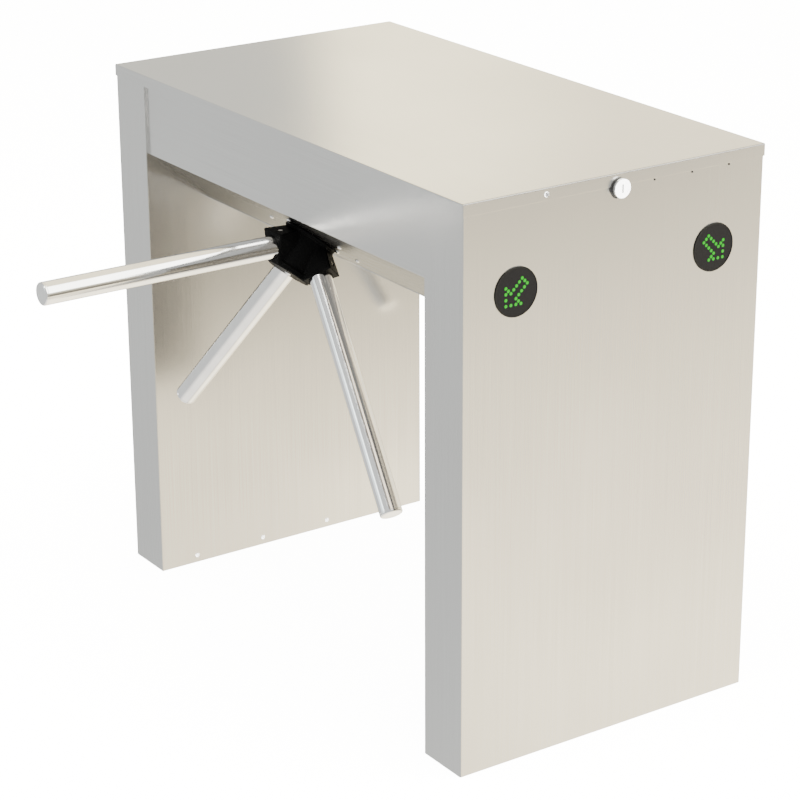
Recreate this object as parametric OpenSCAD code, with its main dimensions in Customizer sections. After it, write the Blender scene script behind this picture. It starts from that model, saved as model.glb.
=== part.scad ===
// Double-lane tripod turnstile: a bridge-shaped steel cabinet on two legs,
// with one three-armed rotor on its front side and one on its rear side.
// Millimetres. The origin is on the floor at the centre of the footprint.
// +X runs to the near end, -Y is the front side and +Z is up.

/* [Casing] */
// Length over the outer faces of the two legs
body_l = 1112; // [1000:1:1300]
// Depth over the front and rear faces
body_w = 616; // [590:1:700]
// Height of the cabinet, to the top of the lid
body_h = 1000; // [940:1:1100]
// Thickness of a leg, measured along the cabinet
leg_t = 104; // [96:1:140]
// Thickness of the stainless sheet
sheet = 1.5; // [1:0.1:2]
// Outside radius of every folded corner
bend_r = 2.5; // [2.2:0.1:4]

/* [Lid] */
// Depth of the lid's turned-down rim
lid_rim = 21.5; // [18:0.5:26]
// Gap between the lid and the casing below it
lid_gap = 0.3; // [0.2:0.1:0.6]
// Distance of the lid screw from the front face
lid_screw_from_front = 161; // [120:1:200]
// Distance of the lid screw below the top of the lid
lid_screw_drop = 11; // [9:0.5:13]
// Diameter of the lid screw's head
lid_screw_head = 9.5; // [6:0.5:10]
// Diameter of the lid screw's shank
lid_screw_shank = 4; // [3:0.5:5]
// Thickness of the nut on the lid screw
lid_nut_t = 5; // [4:0.5:7]
// Length of that screw past its nut
lid_screw_end = 1; // [0.5:0.5:3]
// Gap between that nut and the leg's sheet
lid_nut_gap = 0.6; // [0.4:0.1:0.9]
// Gap on each side of the lid screw in the notch that it lifts out of
lid_notch_play = 2; // [1:0.5:3]

/* [Lid hinges] */
// Distance of each hinge from the middle of the far end
hinge_from_middle = 200; // [120:5:240]
// Width of each hinge along the end of the lid
hinge_w = 60; // [45:5:80]
// Diameter of the hinge knuckles
knuckle_d = 9; // [8:0.5:11]
// Diameter of the hinge pins
hinge_pin_d = 4; // [3:0.5:5]
// Thickness of the hinge leaves
leaf_t = 2; // [1.5:0.5:3]
// Height of the leaf that is fixed to the leg
leaf_h = 37; // [25:1:50]
// Height of the leaf that is fixed to the lid's rim
strap_h = 16; // [12:0.5:17]
// Gap between the rim's lower edge and the centre of the hinge pins
pin_below_rim = 2.5; // [2:0.5:4]
// Side gap between two knuckles
knuckle_gap = 0.6; // [0.4:0.1:1]
// Gap between the knuckles and the edges of the leaves
leaf_gap = 0.5; // [0.4:0.1:1]

/* [Bridge] */
// Depth by which the fascias stand back from the legs' faces
fascia_recess = 5; // [2:0.5:10]
// Distance of the fascias' lower fold below the top of the cabinet
fascia_drop = 150; // [140:1:170]
// Horizontal run of the sloping head plate under each fascia
slope_run = 125; // [118:1:140]
// Width of the lip that carries the bottom tray
lip_w = 20; // [15:1:28]
// Side of the square tubes that join the legs
rail_w = 30; // [25:1:34]
// Wall of those tubes
rail_wall = 2; // [1.5:0.5:3]
// Distance of the tubes' top below the underside of the lid
rail_drop = 3.5; // [2:0.5:8]
// Height of the tray's turned-up ends
tray_end_h = 20; // [12:1:26]
// Number of screws along each edge of the tray
tray_screws = 5; // [3:1:8]
// Distance of the outermost tray screws from the legs
tray_screw_inset = 52; // [30:1:90]

/* [Legs] */
// Gap between a leg's frame and the sheets round it
frame_gap = 0.4; // [0.3:0.1:0.8]
// Thickness of the base plates
base_t = 8; // [6:1:12]
// Height of the base plates' turned-up edge
upstand_h = 30; // [24:1:45]
// Thickness of that edge
upstand_t = 3; // [2:0.5:5]
// Side of the square posts
post_w = 40; // [30:1:42]
// Wall of the square posts
post_wall = 2.5; // [2:0.5:4]
// Distance of the cross bar's top below the top of the cabinet
crossbar_drop = 35; // [30:1:60]
// Diameter of the floor anchor holes
anchor_d = 14; // [10:0.5:18]
// Distance of the outer anchor holes from the leg's outer face
anchor_inset = 24; // [20:1:30]
// Distance between the two rows of anchor holes in one leg
anchor_pitch = 54; // [40:1:56]
// Distance between the front and the rear anchor holes
anchor_span = 430; // [360:5:460]
// Diameter of the cable entry in each base plate
cable_entry_d = 60; // [40:1:70]
// Width of the cable window between leg and bridge
cable_window_w = 100; // [60:5:110]
// Height of the cable window
cable_window_h = 60; // [40:5:80]
// Distance of the cable window's middle below the top of the cabinet
cable_window_drop = 130; // [110:5:160]

/* [Foot screws] */
// Number of screws along the foot of each inner panel
foot_screws = 4; // [3:1:6]
// Distance from the first foot screw to the last
foot_screw_span = 458; // [400:2:480]
// Height of the foot screws above the floor
foot_screw_z = 15; // [13:0.5:20]
// Diameter of the casing screws' heads
screw_head_d = 9; // [7:0.5:10]
// Height of the casing screws' heads
screw_head_h = 3; // [2:0.5:4]
// Diameter of the casing screws' shanks
screw_d = 5; // [4:0.5:6]
// Length by which a screw's shank stands out behind what it holds
screw_end = 3; // [2:0.5:5]
// Diameter by which a screw hole exceeds its shank
screw_play = 0.2; // [0.1:0.1:0.6]

/* [Terminal rail] */
// Distance of the first of the three rivets from the lock
rivet_first = 74; // [70:1:76]
// Distance from each rivet to the next
rivet_pitch = 79; // [60:1:80]
// Distance of the rivets below the rim of the lid
rivet_below_rim = 2.5; // [2:0.5:6]
// Diameter of the rivets' heads
rivet_head_d = 3.6; // [3:0.1:4]
// Diameter of the rivets' shanks
rivet_d = 2.4; // [2:0.1:2.6]
// Height of the rivets' heads
rivet_head_h = 0.8; // [0.5:0.1:1.2]
// Width of the terminal rail
din_w = 35; // [30:1:36]
// Width of the flat web of that rail
din_web = 25; // [20:1:28]
// Depth of the terminal rail
din_depth = 7.5; // [6:0.5:10]
// Thickness of the terminal rail
din_t = 1; // [0.8:0.1:1.5]
// Length by which the rail runs on past its outer rivets
din_overrun = 14; // [10:1:16]
// Number of terminal blocks on the rail
terminals = 12; // [6:1:14]
// Width of one terminal block
terminal_w = 10; // [8:0.5:11]
// Depth of a terminal block
terminal_depth = 20; // [14:1:26]

/* [Indicators] */
// Diameter of the round indicators
indicator_d = 84.5; // [76:0.5:92]
// Distance of the indicators' centres from the front and rear faces
indicator_from_face = 104; // [90:1:120]
// Distance of the indicators' centres below the top of the cabinet
indicator_drop = 162; // [140:1:200]
// Height of the indicator's rim on the leg
indicator_proud = 2; // [1:0.5:4]
// Width of the rim that laps over the edge of the hole
indicator_lap = 1.25; // [1:0.25:2.5]
// Radial gap between the indicator and the edge of its hole
indicator_play = 0.2; // [0.1:0.1:0.4]
// Depth of the indicator behind the sheet
indicator_depth = 8.5; // [6:0.5:12]
// Outside diameter of the box behind an indicator
indicator_box_d = 96; // [92:1:104]
// Depth of the box behind an indicator
indicator_box_depth = 26; // [20:1:34]
// Diameter of one light
led_d = 5.8; // [4:0.2:6]
// Radial gap round each light
led_play = 0.1; // [0.05:0.05:0.3]
// Height of a light above the face of the indicator
led_proud = 0.3; // [0.1:0.1:1]
// Distance between lights across the arrow
led_across = 7.05; // [6.6:0.05:7.4]
// Distance between lights along the shaft of the arrow
led_along = 7.8; // [7:0.1:8.2]
// Distance between the rows of lights in the arrow's point
led_point = 6.9; // [6.6:0.1:7.2]
// Distance of the arrow's barbs beyond the centre of the indicator
led_barb = 8.1; // [7:0.1:9]

/* [Lock] */
// Diameter of the lock's barrel
lock_d = 22; // [18:0.5:24]
// Distance from the leg's face to the back of the lock's collar
lock_proud = 2.4; // [2.2:0.1:4]
// Diameter of the collar behind the lock's face
lock_collar_d = 31; // [28:0.5:32]
// Thickness of that collar
lock_collar_t = 3.5; // [2:0.5:6]
// Diameter of the lock's face
lock_face_d = 32; // [28:0.5:34]
// Thickness of the lock's face
lock_face_t = 4.3; // [4:0.1:8]
// Height of the lock's centre above the lower edge of the rim, negative if below
lock_above_rim = -3; // [-4:0.5:-1]
// Diameter of the shoulder between the lock's seat and its collar
lock_shoulder_d = 25; // [24.5:0.5:27]
// Diameter of the round opening in the leg that shows the lock's dark seat
lock_seat_d = 37; // [34:0.5:38]
// Width of the ring on which the seat lies against the leg's sheet
lock_seat_lap = 2; // [1.5:0.1:2.5]
// Thickness of the seat
lock_seat_t = 3; // [2:0.5:4]
// Radial gap round the shoulder in the lid's rim
rim_notch_play = 0.7; // [0.5:0.1:1.2]
// Width of the key slot
key_slot_w = 2.4; // [1.5:0.1:3]
// Length of the key slot
key_slot_l = 14; // [10:0.5:18]
// Depth of the key slot
key_slot_depth = 2.5; // [1.5:0.5:4]
// Diameter of the lock's spindle
spindle_d = 12; // [8:0.5:14]
// Radial running gap of the spindle
spindle_play = 0.05; // [0.02:0.01:0.08]
// Length of the barrel inside the leg
lock_inside = 23.5; // [20:0.5:26]
// Width across the corners of the lock nut
lock_nut_d = 32; // [28:1:34]
// Thickness of the lock nut
lock_nut_t = 8; // [5:0.5:10]
// Thickness of the cam
cam_t = 3; // [2:0.5:4]
// Length of the cam's finger from the spindle's centre
cam_reach = 19.5; // [18:0.5:19.5]
// Width of the cam's finger
cam_w = 12; // [9:0.5:12]
// Radius of the cam round the spindle
cam_hub_r = 9; // [8:0.5:10]
// Gap between the barrel and the cam
cam_gap = 0.5; // [0.3:0.1:1]
// Thickness of the lid's catch
catch_t = 3; // [2:0.5:4]
// Length of the lid's catch along the cabinet
catch_l = 14; // [10:1:18]
// Sideways gap between the lock's barrel and the lip of the catch
catch_side_gap = 2; // [1:0.5:3]
// Sideways gap between the cam's finger and the upright of the catch
catch_play = 3; // [2:0.5:6]
// Gap between the cam's finger and the lip below it when the lid is locked
catch_gap = 1.5; // [0.5:0.5:3]
// Width of the catch's flange under the lid
catch_flange = 20; // [12:1:22]

/* [Rotor] */
// Angle of the rotor's shaft below the horizontal
shaft_tilt = 50; // [47:0.5:52]
// Distance from the fascia's fold to the shaft, down the sloping plate
shaft_from_fold = 89; // [86:0.5:92]
// Height of the point where the arms' axes meet, above the sloping plate
apex_out = 6.4; // [6:0.1:8]
// Diameter of the arms
arm_d = 40; // [36:0.5:41]
// Wall of the arms' tubes
arm_wall = 2; // [1.5:0.5:3]
// Distance from the meeting point of the arms' axes to an arm's tip
arm_reach = 521; // [440:1:560]
// Distance from that point to the inner end of an arm
arm_root = 38; // [36:1:44]
// Thickness of the cap on an arm's tip
cap_t = 5; // [4:0.5:8]
// Radius of the cap's rounded edge
cap_edge_r = 3; // [2:0.5:4]
// Length of the cap's plug in the tube
cap_plug_l = 16; // [10:1:24]
// Gap between pieces that are pushed together
fit_gap = 0.05; // [0.02:0.01:0.1]

/* [Hub] */
// Distance from the meeting point to the mouth of each socket
mouth_s = 74.8; // [68:0.2:82]
// Distance from an arm's axis to the socket's side away from the nose
mouth_back = 28; // [25:0.5:31]
// Distance from an arm's axis to the socket's side towards the nose
mouth_front = 25.7; // [23:0.1:28]
// Half width of the mouth at its side away from the nose
mouth_back_w = 27.7; // [26:0.1:30]
// Half width of the mouth at its side towards the nose
mouth_front_w = 16.8; // [15.5:0.1:20]
// Half width of a socket where its back meets the flange
socket_root_w = 20; // [18:0.5:23]
// Radius of the flange at the foot of the hub
hub_flange_r = 50; // [46:0.5:51]
// Thickness of that flange
hub_flange_t = 4.5; // [3:0.5:5]
// Running gap between the flange and the sloping plate
hub_gap = 0.4; // [0.3:0.1:0.5]
// Radius of the core of the hub
hub_core_r = 38; // [34:0.5:40]
// Radius of the nose disc
nose_r = 41; // [38:0.5:43]
// Height of the nose disc's face above the meeting point
nose_z = 70; // [68:0.5:73]
// Thickness of the nose disc
nose_t = 10; // [6:0.5:12]
// Radius of the hub's spigot towards the bearing
spigot_r = 17; // [15:0.5:18]
// Diameter of the head of the nose bolt
nose_bolt_head = 12; // [10:0.5:16]
// Height of the head of the nose bolt
nose_bolt_head_h = 3.5; // [2:0.5:5]
// Diameter of the shank of the nose bolt
nose_bolt_d = 10; // [8:0.5:10]
// Depth of the nose bolt in the shaft
nose_bolt_in = 25; // [15:1:30]
// Distance of an arm's set screw from the meeting point
set_screw_s = 58; // [52:1:64]
// Diameter of an arm's set screw
set_screw_d = 8; // [6:0.5:10]
// Depth by which a set screw is sunk below the socket's back
set_screw_sunk = 0.8; // [0.4:0.1:1.5]

/* [Mechanism] */
// Diameter of the rotor's shaft
shaft_d = 25; // [22:0.5:26]
// Height of the shaft's end above the meeting point
shaft_top = 45; // [40:1:46]
// Length of the shaft behind the back plate
shaft_tail = 7; // [4:1:12]
// Thickness of the chassis's front plate
chassis_t = 6; // [5:0.5:8]
// Gap between that plate and the sloping plate that carries it
chassis_gap = 0.1; // [0.1:0.1:0.5]
// Width of the chassis plates beyond the magnets
chassis_edge = 2; // [1:0.5:6]
// Reach of the chassis plates below the shaft
chassis_low = 58; // [54:1:60]
// Reach of the chassis's front plate above the shaft
chassis_high = 72; // [71:1:74]
// Thickness of the chassis's back plate
back_plate_t = 5; // [4:0.5:8]
// Distance from the drive gear to the back plate
back_gap = 6; // [4:0.5:10]
// Diameter of the spacers between the two plates
spacer_d = 14; // [12:1:16]
// Distance of the lower spacers' middles from the plates' edges
spacer_inset = 10; // [8:0.5:12]
// Gap between the upper spacers and the lock disc
spacer_gap = 8; // [6:0.5:10]
// Angle of the upper spacers above the horizontal
spacer_angle = 47; // [46:0.5:50]
// Distance of the chassis screws from the shaft, sideways
chassis_screw_x = 109.5; // [106:0.5:112]
// Height of the upper chassis screws above the shaft
chassis_screw_high = 16; // [12:1:20]
// Distance of the lower chassis screws below the shaft
chassis_screw_low = 32; // [28:1:34]
// Radius of the ring of screws that hold the bearing housing
housing_screw_r = 57.5; // [57:0.5:59]
// Diameter of the heads of those screws
housing_screw_head_d = 9.5; // [8:0.5:11]
// Height of the heads of those screws
housing_screw_head_h = 4; // [3:0.5:4.5]
// Width of the bearing housing's flange outside that ring
housing_flange_edge = 8.5; // [6:0.5:10]
// Thickness of that flange
housing_flange_t = 8; // [6:0.5:10]
// Outside radius of the bearing housing
housing_r = 36.5; // [33:0.5:38]
// Radial gap between the housing and the plates that it passes through
housing_play = 0.2; // [0.1:0.1:0.5]
// Depth of the housing's nose below the face of the sloping plate
housing_nose_sunk = 0.5; // [0.3:0.1:0.8]
// Length of the bearing housing behind the sloping plate
housing_l = 64; // [60:1:65]
// Thickness of the lip in front of the front bearing
housing_lip_t = 3; // [2:0.5:3]
// Outside diameter of the ball bearings
bearing_d = 52; // [47:1:56]
// Width of the ball bearings
bearing_w = 15; // [12:1:18]
// Radial gap between the housing's middle and the shaft
housing_bore_play = 7; // [4:0.5:9]
// Radial running gap between the bearings and the shaft
bearing_play = 0.05; // [0.02:0.01:0.08]

/* [Locking] */
// Radius of the lock disc
disc_r = 70; // [69:0.5:71]
// Thickness of the lock disc and of the pawls
disc_t = 8; // [6:0.5:8]
// Distance from the rear bearing to the lock disc
disc_gap = 10; // [8:0.5:14]
// Number of notches in the lock disc
notches = 12; // [12:12:12]
// Width of a notch
notch_w = 12; // [11:0.5:14]
// Depth of a notch
notch_depth = 9; // [8:0.5:12]
// Angle through which a pawl swings to lock the disc
pawl_swing = 11; // [10:0.5:11.5]
// Length of a pawl's tooth
pawl_tooth_l = 10.5; // [10:0.5:12]
// Distance of the pawls' pivots above the shaft
pawl_y = 45; // [44:0.5:46]
// Diameter of the pawls' pivot pins
pawl_pin_d = 10; // [8:0.5:10]
// Radial running gap of the pawls
pawl_play = 0.05; // [0.02:0.01:0.08]
// Radius of a pawl round its pivot
pawl_boss_r = 11; // [9:0.5:12]
// Width of a pawl's lever
pawl_w = 8; // [6:0.5:8]
// Gap between a pawl's tooth and the lock disc at rest
pawl_clear = 2.5; // [2:0.5:3]
// Width of a pawl's tooth
pawl_tooth_w = 7; // [5:0.5:8]
// Length of a pawl's tail above its pivot
pawl_tail = 31; // [28:1:34]
// Gap between a pawl's tail and its magnet when the disc is locked
magnet_gap = 0.5; // [0.4:0.1:1]
// Length of a magnet
magnet_l = 28; // [22:1:29]
// Height of a magnet, square to its length
magnet_w = 24; // [20:1:26]
// Diameter of a magnet's pole
pole_d = 16; // [12:1:20]
// Length of a magnet's pole
pole_l = 2; // [1:0.5:3]
// Depth of a magnet in front of the back plate
magnet_depth = 38; // [36:1:40]
// Height of a magnet's middle above a pawl's pivot
magnet_above = 24; // [23:0.5:26]

/* [Drive] */
// Tooth module of the drive gears
gear_module = 4; // [4:0.5:4]
// Teeth of the gear on the shaft
gear_teeth = 30; // [30:1:30]
// Teeth of the motor's pinion
pinion_teeth = 12; // [12:1:12]
// Pressure angle of the teeth
pressure_angle = 25; // [24:1:26]
// Thickness of the gears
gear_t = 10; // [8:0.5:10]
// Distance from the lock disc to the gear on the shaft
gear_gap = 6; // [5:0.5:6]
// Amount by which each tooth is thinned, for backlash
backlash = 0.3; // [0.2:0.05:0.4]
// Diameter of the bosses on the shaft
boss_d = 40; // [34:1:44]
// Diameter of the boss next to the rear bearing
inner_boss_d = 32; // [30:1:36]
// End gap between that boss and the bearing
end_play = 0.3; // [0.2:0.1:0.6]
// Diameter of the motor
motor_d = 56; // [44:1:60]
// Length of the motor
motor_l = 66; // [50:1:76]
// Side of the motor's square flange
motor_flange_w = 60; // [56:1:64]
// Thickness of the motor's flange
motor_flange_t = 5; // [4:0.5:8]
// Diameter of the motor's shaft
motor_shaft_d = 10; // [8:0.5:12]
// Depth of the motor's shaft in the motor
motor_shaft_in = 12; // [8:1:20]
// Gap round the two shafts where they pass the back plate
back_hole_play = 1; // [0.5:0.5:3]

/* [Electronics] */
// Distance of the middles of the two electronic units from the legs
unit_from_leg = 152; // [130:1:160]
// Length of the controller's board
board_l = 220; // [160:5:240]
// Width of the controller's board
board_w = 140; // [100:5:150]
// Thickness of the controller's board
board_t = 1.6; // [1.2:0.1:2.4]
// Height of the board above the tray
board_lift = 10; // [6:1:16]
// Diameter of the board's pillars
pillar_d = 8; // [6:0.5:10]
// Distance of the board's pillars from its edges
pillar_inset = 8; // [6:0.5:12]
// Height of the relays on the board
relay_h = 16; // [10:1:22]
// Side of the relays on the board
relay_w = 18; // [12:1:22]
// Height of the connectors on the board
connector_h = 12; // [8:1:16]
// Depth of the connectors on the board
connector_w = 12; // [8:1:16]
// Length of the power supply
supply_l = 200; // [150:5:220]
// Width of the power supply
supply_w = 98; // [80:1:110]
// Height of the power supply
supply_h = 42; // [30:1:50]
// Number of air slots in the power supply's cover
supply_slots = 12; // [6:1:14]
// Width of an air slot
slot_w = 4; // [2:0.5:6]
// Depth of an air slot
slot_depth = 2; // [1:0.5:3]

/* [Hidden] */
$fn = 64;

// Colours
satin_steel = [0.74, 0.73, 0.70];
bright_steel = [0.86, 0.86, 0.86];
zinc_steel = [0.62, 0.64, 0.66];
frame_grey = [0.45, 0.46, 0.48];
hub_black = [0.02, 0.02, 0.02];
dark_plastic = [0.24, 0.24, 0.23];
light_green = [0.10, 0.90, 0.15];
brass_yellow = [0.70, 0.58, 0.30];
board_green = [0.08, 0.32, 0.18];
motor_grey = [0.30, 0.31, 0.33];

// A little length by which a cutter runs past the face that it cuts
past = 1;

// The casing's outline
half_l = body_l / 2;
half_w = body_w / 2;
inner_x = half_l - leg_t;
lid_under = body_h - sheet;
case_top = lid_under - lid_gap;
rim_low = body_h - lid_rim;
inner_bend_r = bend_r - sheet;

// The lid's outline
lid_half_l = half_l + lid_gap + sheet;
lid_half_w = half_w + lid_gap + sheet;

// The bridge's outline, in the plane across the cabinet
slope_angle = 90 - shaft_tilt;
unit_x = inner_x - unit_from_leg;
fascia_y = -half_w + fascia_recess;
fold_z = body_h - fascia_drop;
slope_y = fascia_y + slope_run;
slope_z = fold_z - slope_run * tan(slope_angle);
fold_steps = 6;
tray_half_w = -slope_y - frame_gap;
rail_top = lid_under - rail_drop;
rail_y = -fascia_y - sheet - rail_w;

// The legs' insides
upstand_x = inner_x + sheet;
post_x = upstand_x + upstand_t + frame_gap;
post_y = half_w - sheet - frame_gap - post_w;
frame_half_w = half_w - sheet - frame_gap;
frame_outer_x = half_l - sheet - frame_gap;
anchor_x = half_l - anchor_inset;
crossbar_top = body_h - crossbar_drop;
panel_half_w = half_w - sheet;
cable_entry_x = anchor_x - anchor_pitch / 2;
foot_pitch = foot_screw_span / (foot_screws - 1);
tray_pitch = 2 * (inner_x - tray_screw_inset) / (tray_screws - 1);
tray_screw_y = slope_y + lip_w / 2;
tray_screw_l = 2 * sheet + screw_end;
foot_screw_l = sheet + upstand_t + screw_end;
screw_hole = screw_d + screw_play;
window_z = body_h - cable_window_drop;

// The rotor's own frame: z runs out along the shaft, y up the sloping plate
arm_cone = shaft_tilt;
apex_y = fascia_y + shaft_from_fold * cos(slope_angle) - apex_out * sin(slope_angle);
apex_z = fold_z - shaft_from_fold * sin(slope_angle) - apex_out * cos(slope_angle);
plate_face = -apex_out;
plate_back = plate_face - sheet;
chassis_face = plate_back - chassis_gap;
chassis_back = chassis_face - chassis_t;
housing_face = plate_face - housing_nose_sunk;
housing_end = plate_back - housing_l;
front_bearing_top = housing_face - housing_lip_t;
flange_foot = plate_face + hub_gap;
flange_top = flange_foot + hub_flange_t;
disc_front = housing_end - disc_gap;
disc_back = disc_front - disc_t;
gear_front = disc_back - gear_gap;
gear_back = gear_front - gear_t;
back_plate_face = gear_back - back_gap;
back_plate_back = back_plate_face - back_plate_t;
shaft_end = back_plate_back - shaft_tail;
bush_d = shaft_d + 2 * fit_gap;
socket_d = arm_d + 2 * fit_gap;
pinion_x = gear_module * (gear_teeth + pinion_teeth) / 2;
motor_shaft_end = back_plate_back - motor_shaft_in;
pawl_tip_x = disc_r + pawl_clear;
pawl_x = pawl_tip_x + pawl_tooth_l;
pawl_lead = (pawl_y + pawl_tooth_l * sin(pawl_swing)) / cos(pawl_swing) - pawl_y;
pole_x = pawl_x + pawl_w / 2 * cos(pawl_swing) + pawl_tail * sin(pawl_swing) + magnet_gap;
magnet_y = pawl_y + magnet_above;
chassis_half_l = pole_x + pole_l + magnet_l + chassis_edge;
back_plate_high = magnet_y + magnet_w / 2 + chassis_edge;
spacer_low = [chassis_half_l - spacer_inset, spacer_inset - chassis_low];
spacer_high = (disc_r + spacer_gap + spacer_d / 2) * [cos(spacer_angle), sin(spacer_angle)];
housing_screw_l = plate_face - chassis_back + housing_flange_t;
chassis_screw_l = plate_face - chassis_back;

// The indicators
indicator_y = half_w - indicator_from_face;
indicator_z = body_h - indicator_drop;
indicator_hole_r = indicator_d / 2 - indicator_lap;
indicator_floor = half_l - sheet - indicator_depth;
led_top = half_l + indicator_proud + led_proud;

// The arrow of lights: x runs from the arrow's point to its tail, y across it
arrow = concat(
    [for (n = [0 : 3], s = [-1, 1]) [-led_barb + n * led_along, s * led_across]],
    [for (s = [-1 : 1]) [-led_barb + 4 * led_along, s * led_across]],
    [for (n = [2 : 3], s = [-1, 1]) [-led_barb, s * n * led_across]],
    [for (n = [1 : 2], s = [-1, 1]) [-led_barb - n * led_point, s * (3 - n) * led_across]],
    [[-led_barb - 3 * led_point, 0]]
);

// The lock
lock_z = rim_low + lock_above_rim;
lock_in_x = half_l - sheet - lock_inside;
cam_x = lock_in_x - cam_gap - cam_t;
seat_x = half_l - sheet - lock_seat_t;
collar_x = half_l + lock_proud;
face_x = collar_x + lock_collar_t + lid_gap;
catch_y = cam_reach + catch_play;
catch_x = cam_x + (cam_t - catch_l) / 2;
catch_z = lock_z - cam_w / 2 - catch_gap - catch_t;
catch_side = lock_d / 2 + catch_side_gap;
rim_notch_r = lock_shoulder_d / 2 + rim_notch_play;
lid_screw_y = lid_screw_from_front - half_w;
lid_screw_z = body_h - lid_screw_drop;
lid_screw_l = 2 * sheet + lid_gap + lid_nut_gap + lid_nut_t + lid_screw_end;

// The lid's hinges
pin_x = lid_half_l + knuckle_d / 2;
pin_z = rim_low - pin_below_rim;
leaf_top = pin_z - knuckle_d / 2 - leaf_gap;
strap_low = pin_z + knuckle_d / 2 + leaf_gap;
knuckle_w = hinge_w / 5;

// The terminal rail
rivet_z = rim_low - rivet_below_rim;
din_y = rivet_first - din_overrun;
din_l = 2 * rivet_pitch + 2 * din_overrun;
terminal_pitch = (din_l - terminal_w) / (terminals - 1);

// Placement

module at_near() { children(); }

module at_far() { rotate([0, 0, 180]) children(); }

module at_both_ends() {
    for (turn = [0, 180]) rotate([0, 0, turn]) children();
}

// The front rotor's frame
module at_front() {
    translate([0, apex_y, apex_z]) rotate([90 + shaft_tilt, 0, 0]) children();
}

// The rear rotor's frame, half a turn round from the front one
module at_rear() { rotate([0, 0, 180]) at_front() children(); }

module at_both_rotors() {
    at_front() children();
    at_rear() children();
}

// Along one arm: z runs out along the arm and y away from the nose
module at_arm(n) {
    rotate([0, 0, 120 * n]) rotate([-arm_cone, 0, 0]) children();
}

module at_arms() {
    for (n = [0 : 2]) at_arm(n) children();
}

// A place on the outer face of the near leg, with z pointing outwards
module on_end(x, y, z) {
    translate([x, y, z]) rotate([0, 90, 0]) children();
}

// General shapes

// A box from one corner to the opposite one
module block(low, high) {
    translate(low) cube(high - low);
}

// A square tube along z, from the origin's corner
module square_tube(side, wall, length) {
    difference() {
        cube([side, side, length]);
        translate([wall, wall, -past]) cube([side - 2 * wall, side - 2 * wall, length + 2 * past]);
    }
}

// A screw along z: its head stands above z = 0 and its shank runs below
module screw(head_d, head_h, shank_d, shank_l) {
    ball_r = (pow(head_d / 2, 2) + head_h * head_h) / (2 * head_h);
    difference() {
        union() {
            intersection() {
                translate([0, 0, head_h - ball_r]) sphere(r = ball_r);
                cylinder(h = head_h + past, d = head_d);
            }
            translate([0, 0, -shank_l]) cylinder(h = shank_l + head_h / 3, d = shank_d);
        }
        translate([0, 0, head_h * 0.45]) cylinder(h = head_h, d = head_d * 0.42, $fn = 6);
    }
}

// A panel with its two corners on the +x side rounded, between x0 and x1
module round_front(x0, x1, half, r) {
    translate([x0, -half]) square([x1 - x0 - r, 2 * half]);
    translate([x0, -half + r]) square([x1 - x0, 2 * (half - r)]);
    for (s = [-1, 1]) translate([x1 - r, s * (half - r)]) circle(r = r);
}

// A solid box with rounded upright edges and a rounded top edge
module round_top_box(half_x, half_y, low, high, r) {
    block([-half_x + r, -half_y, low], [half_x - r, half_y, high - r]);
    block([-half_x, -half_y + r, low], [half_x, half_y - r, high - r]);
    block([-half_x + r, -half_y + r, low], [half_x - r, half_y - r, high]);
    for (sx = [-1, 1], sy = [-1, 1]) {
        translate([sx * (half_x - r), sy * (half_y - r), low]) cylinder(h = high - r - low, r = r);
        translate([sx * (half_x - r), sy * (half_y - r), high - r]) sphere(r = r);
    }
    for (sy = [-1, 1]) translate([-half_x + r, sy * (half_y - r), high - r])
        rotate([0, 90, 0]) cylinder(h = 2 * (half_x - r), r = r);
    for (sx = [-1, 1]) translate([sx * (half_x - r), half_y - r, high - r])
        rotate([90, 0, 0]) cylinder(h = 2 * (half_y - r), r = r);
}

// Points on an arc about a centre, from one angle to another
function arc(centre, r, from, to) =
    [for (i = [0 : fold_steps]) centre + r * [
        cos(from + (to - from) * i / fold_steps),
        sin(from + (to - from) * i / fold_steps)
    ]];

// The flank of an involute tooth: polar angle lost between the pitch circle and radius r
function roll(r, base_r) = sqrt(max(pow(r / base_r, 2) - 1, 0));
function flank(r, base_r) = roll(r, base_r) * 180 / PI - atan(roll(r, base_r));
function polar(r, a) = r * [cos(a), sin(a)];

// The outline of a spur gear with one tooth on the x axis
function gear_points(teeth) =
    let (
        pitch_r = gear_module * teeth / 2,
        base_r = pitch_r * cos(pressure_angle),
        root_r = pitch_r - 1.25 * gear_module,
        tip_r = pitch_r + gear_module,
        start_r = max(root_r, base_r),
        half = 90 / teeth - backlash / pitch_r * 90 / PI + flank(pitch_r, base_r),
        radii = [for (i = [0 : 3]) start_r + (tip_r - start_r) * i / 3]
    )
    [for (n = [0 : teeth - 1]) each concat(
        [polar(root_r, n * 360 / teeth - half + flank(start_r, base_r))],
        [for (r = radii) polar(r, n * 360 / teeth - half + flank(r, base_r))],
        [for (i = [3 : -1 : 0]) polar(radii[i], n * 360 / teeth + half - flank(radii[i], base_r))],
        [polar(root_r, n * 360 / teeth + half - flank(start_r, base_r))]
    )];

// Legs

// The outer cover of a leg: end, front and rear faces folded from one sheet
module leg_shell_body() {
    difference() {
        linear_extrude(height = case_top) difference() {
            round_front(inner_x, half_l, half_w, bend_r);
            round_front(inner_x - past, half_l - sheet, half_w - sheet, inner_bend_r);
        }
        for (s = [-1, 1]) on_end(half_l - sheet - past, s * indicator_y, indicator_z)
            cylinder(h = sheet + 2 * past, r = indicator_hole_r);
    }
}

module near_leg_shell() {
    color(satin_steel) difference() {
        at_near() leg_shell_body();
        on_end(half_l - sheet - past, 0, lock_z) cylinder(h = sheet + 2 * past, d = lock_seat_d);
        for (n = [0 : 2]) on_end(half_l - sheet - past, rivet_first + n * rivet_pitch, rivet_z)
            cylinder(h = sheet + 2 * past, d = rivet_d + screw_play);
        lid_screw_notch();
    }
}

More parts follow.
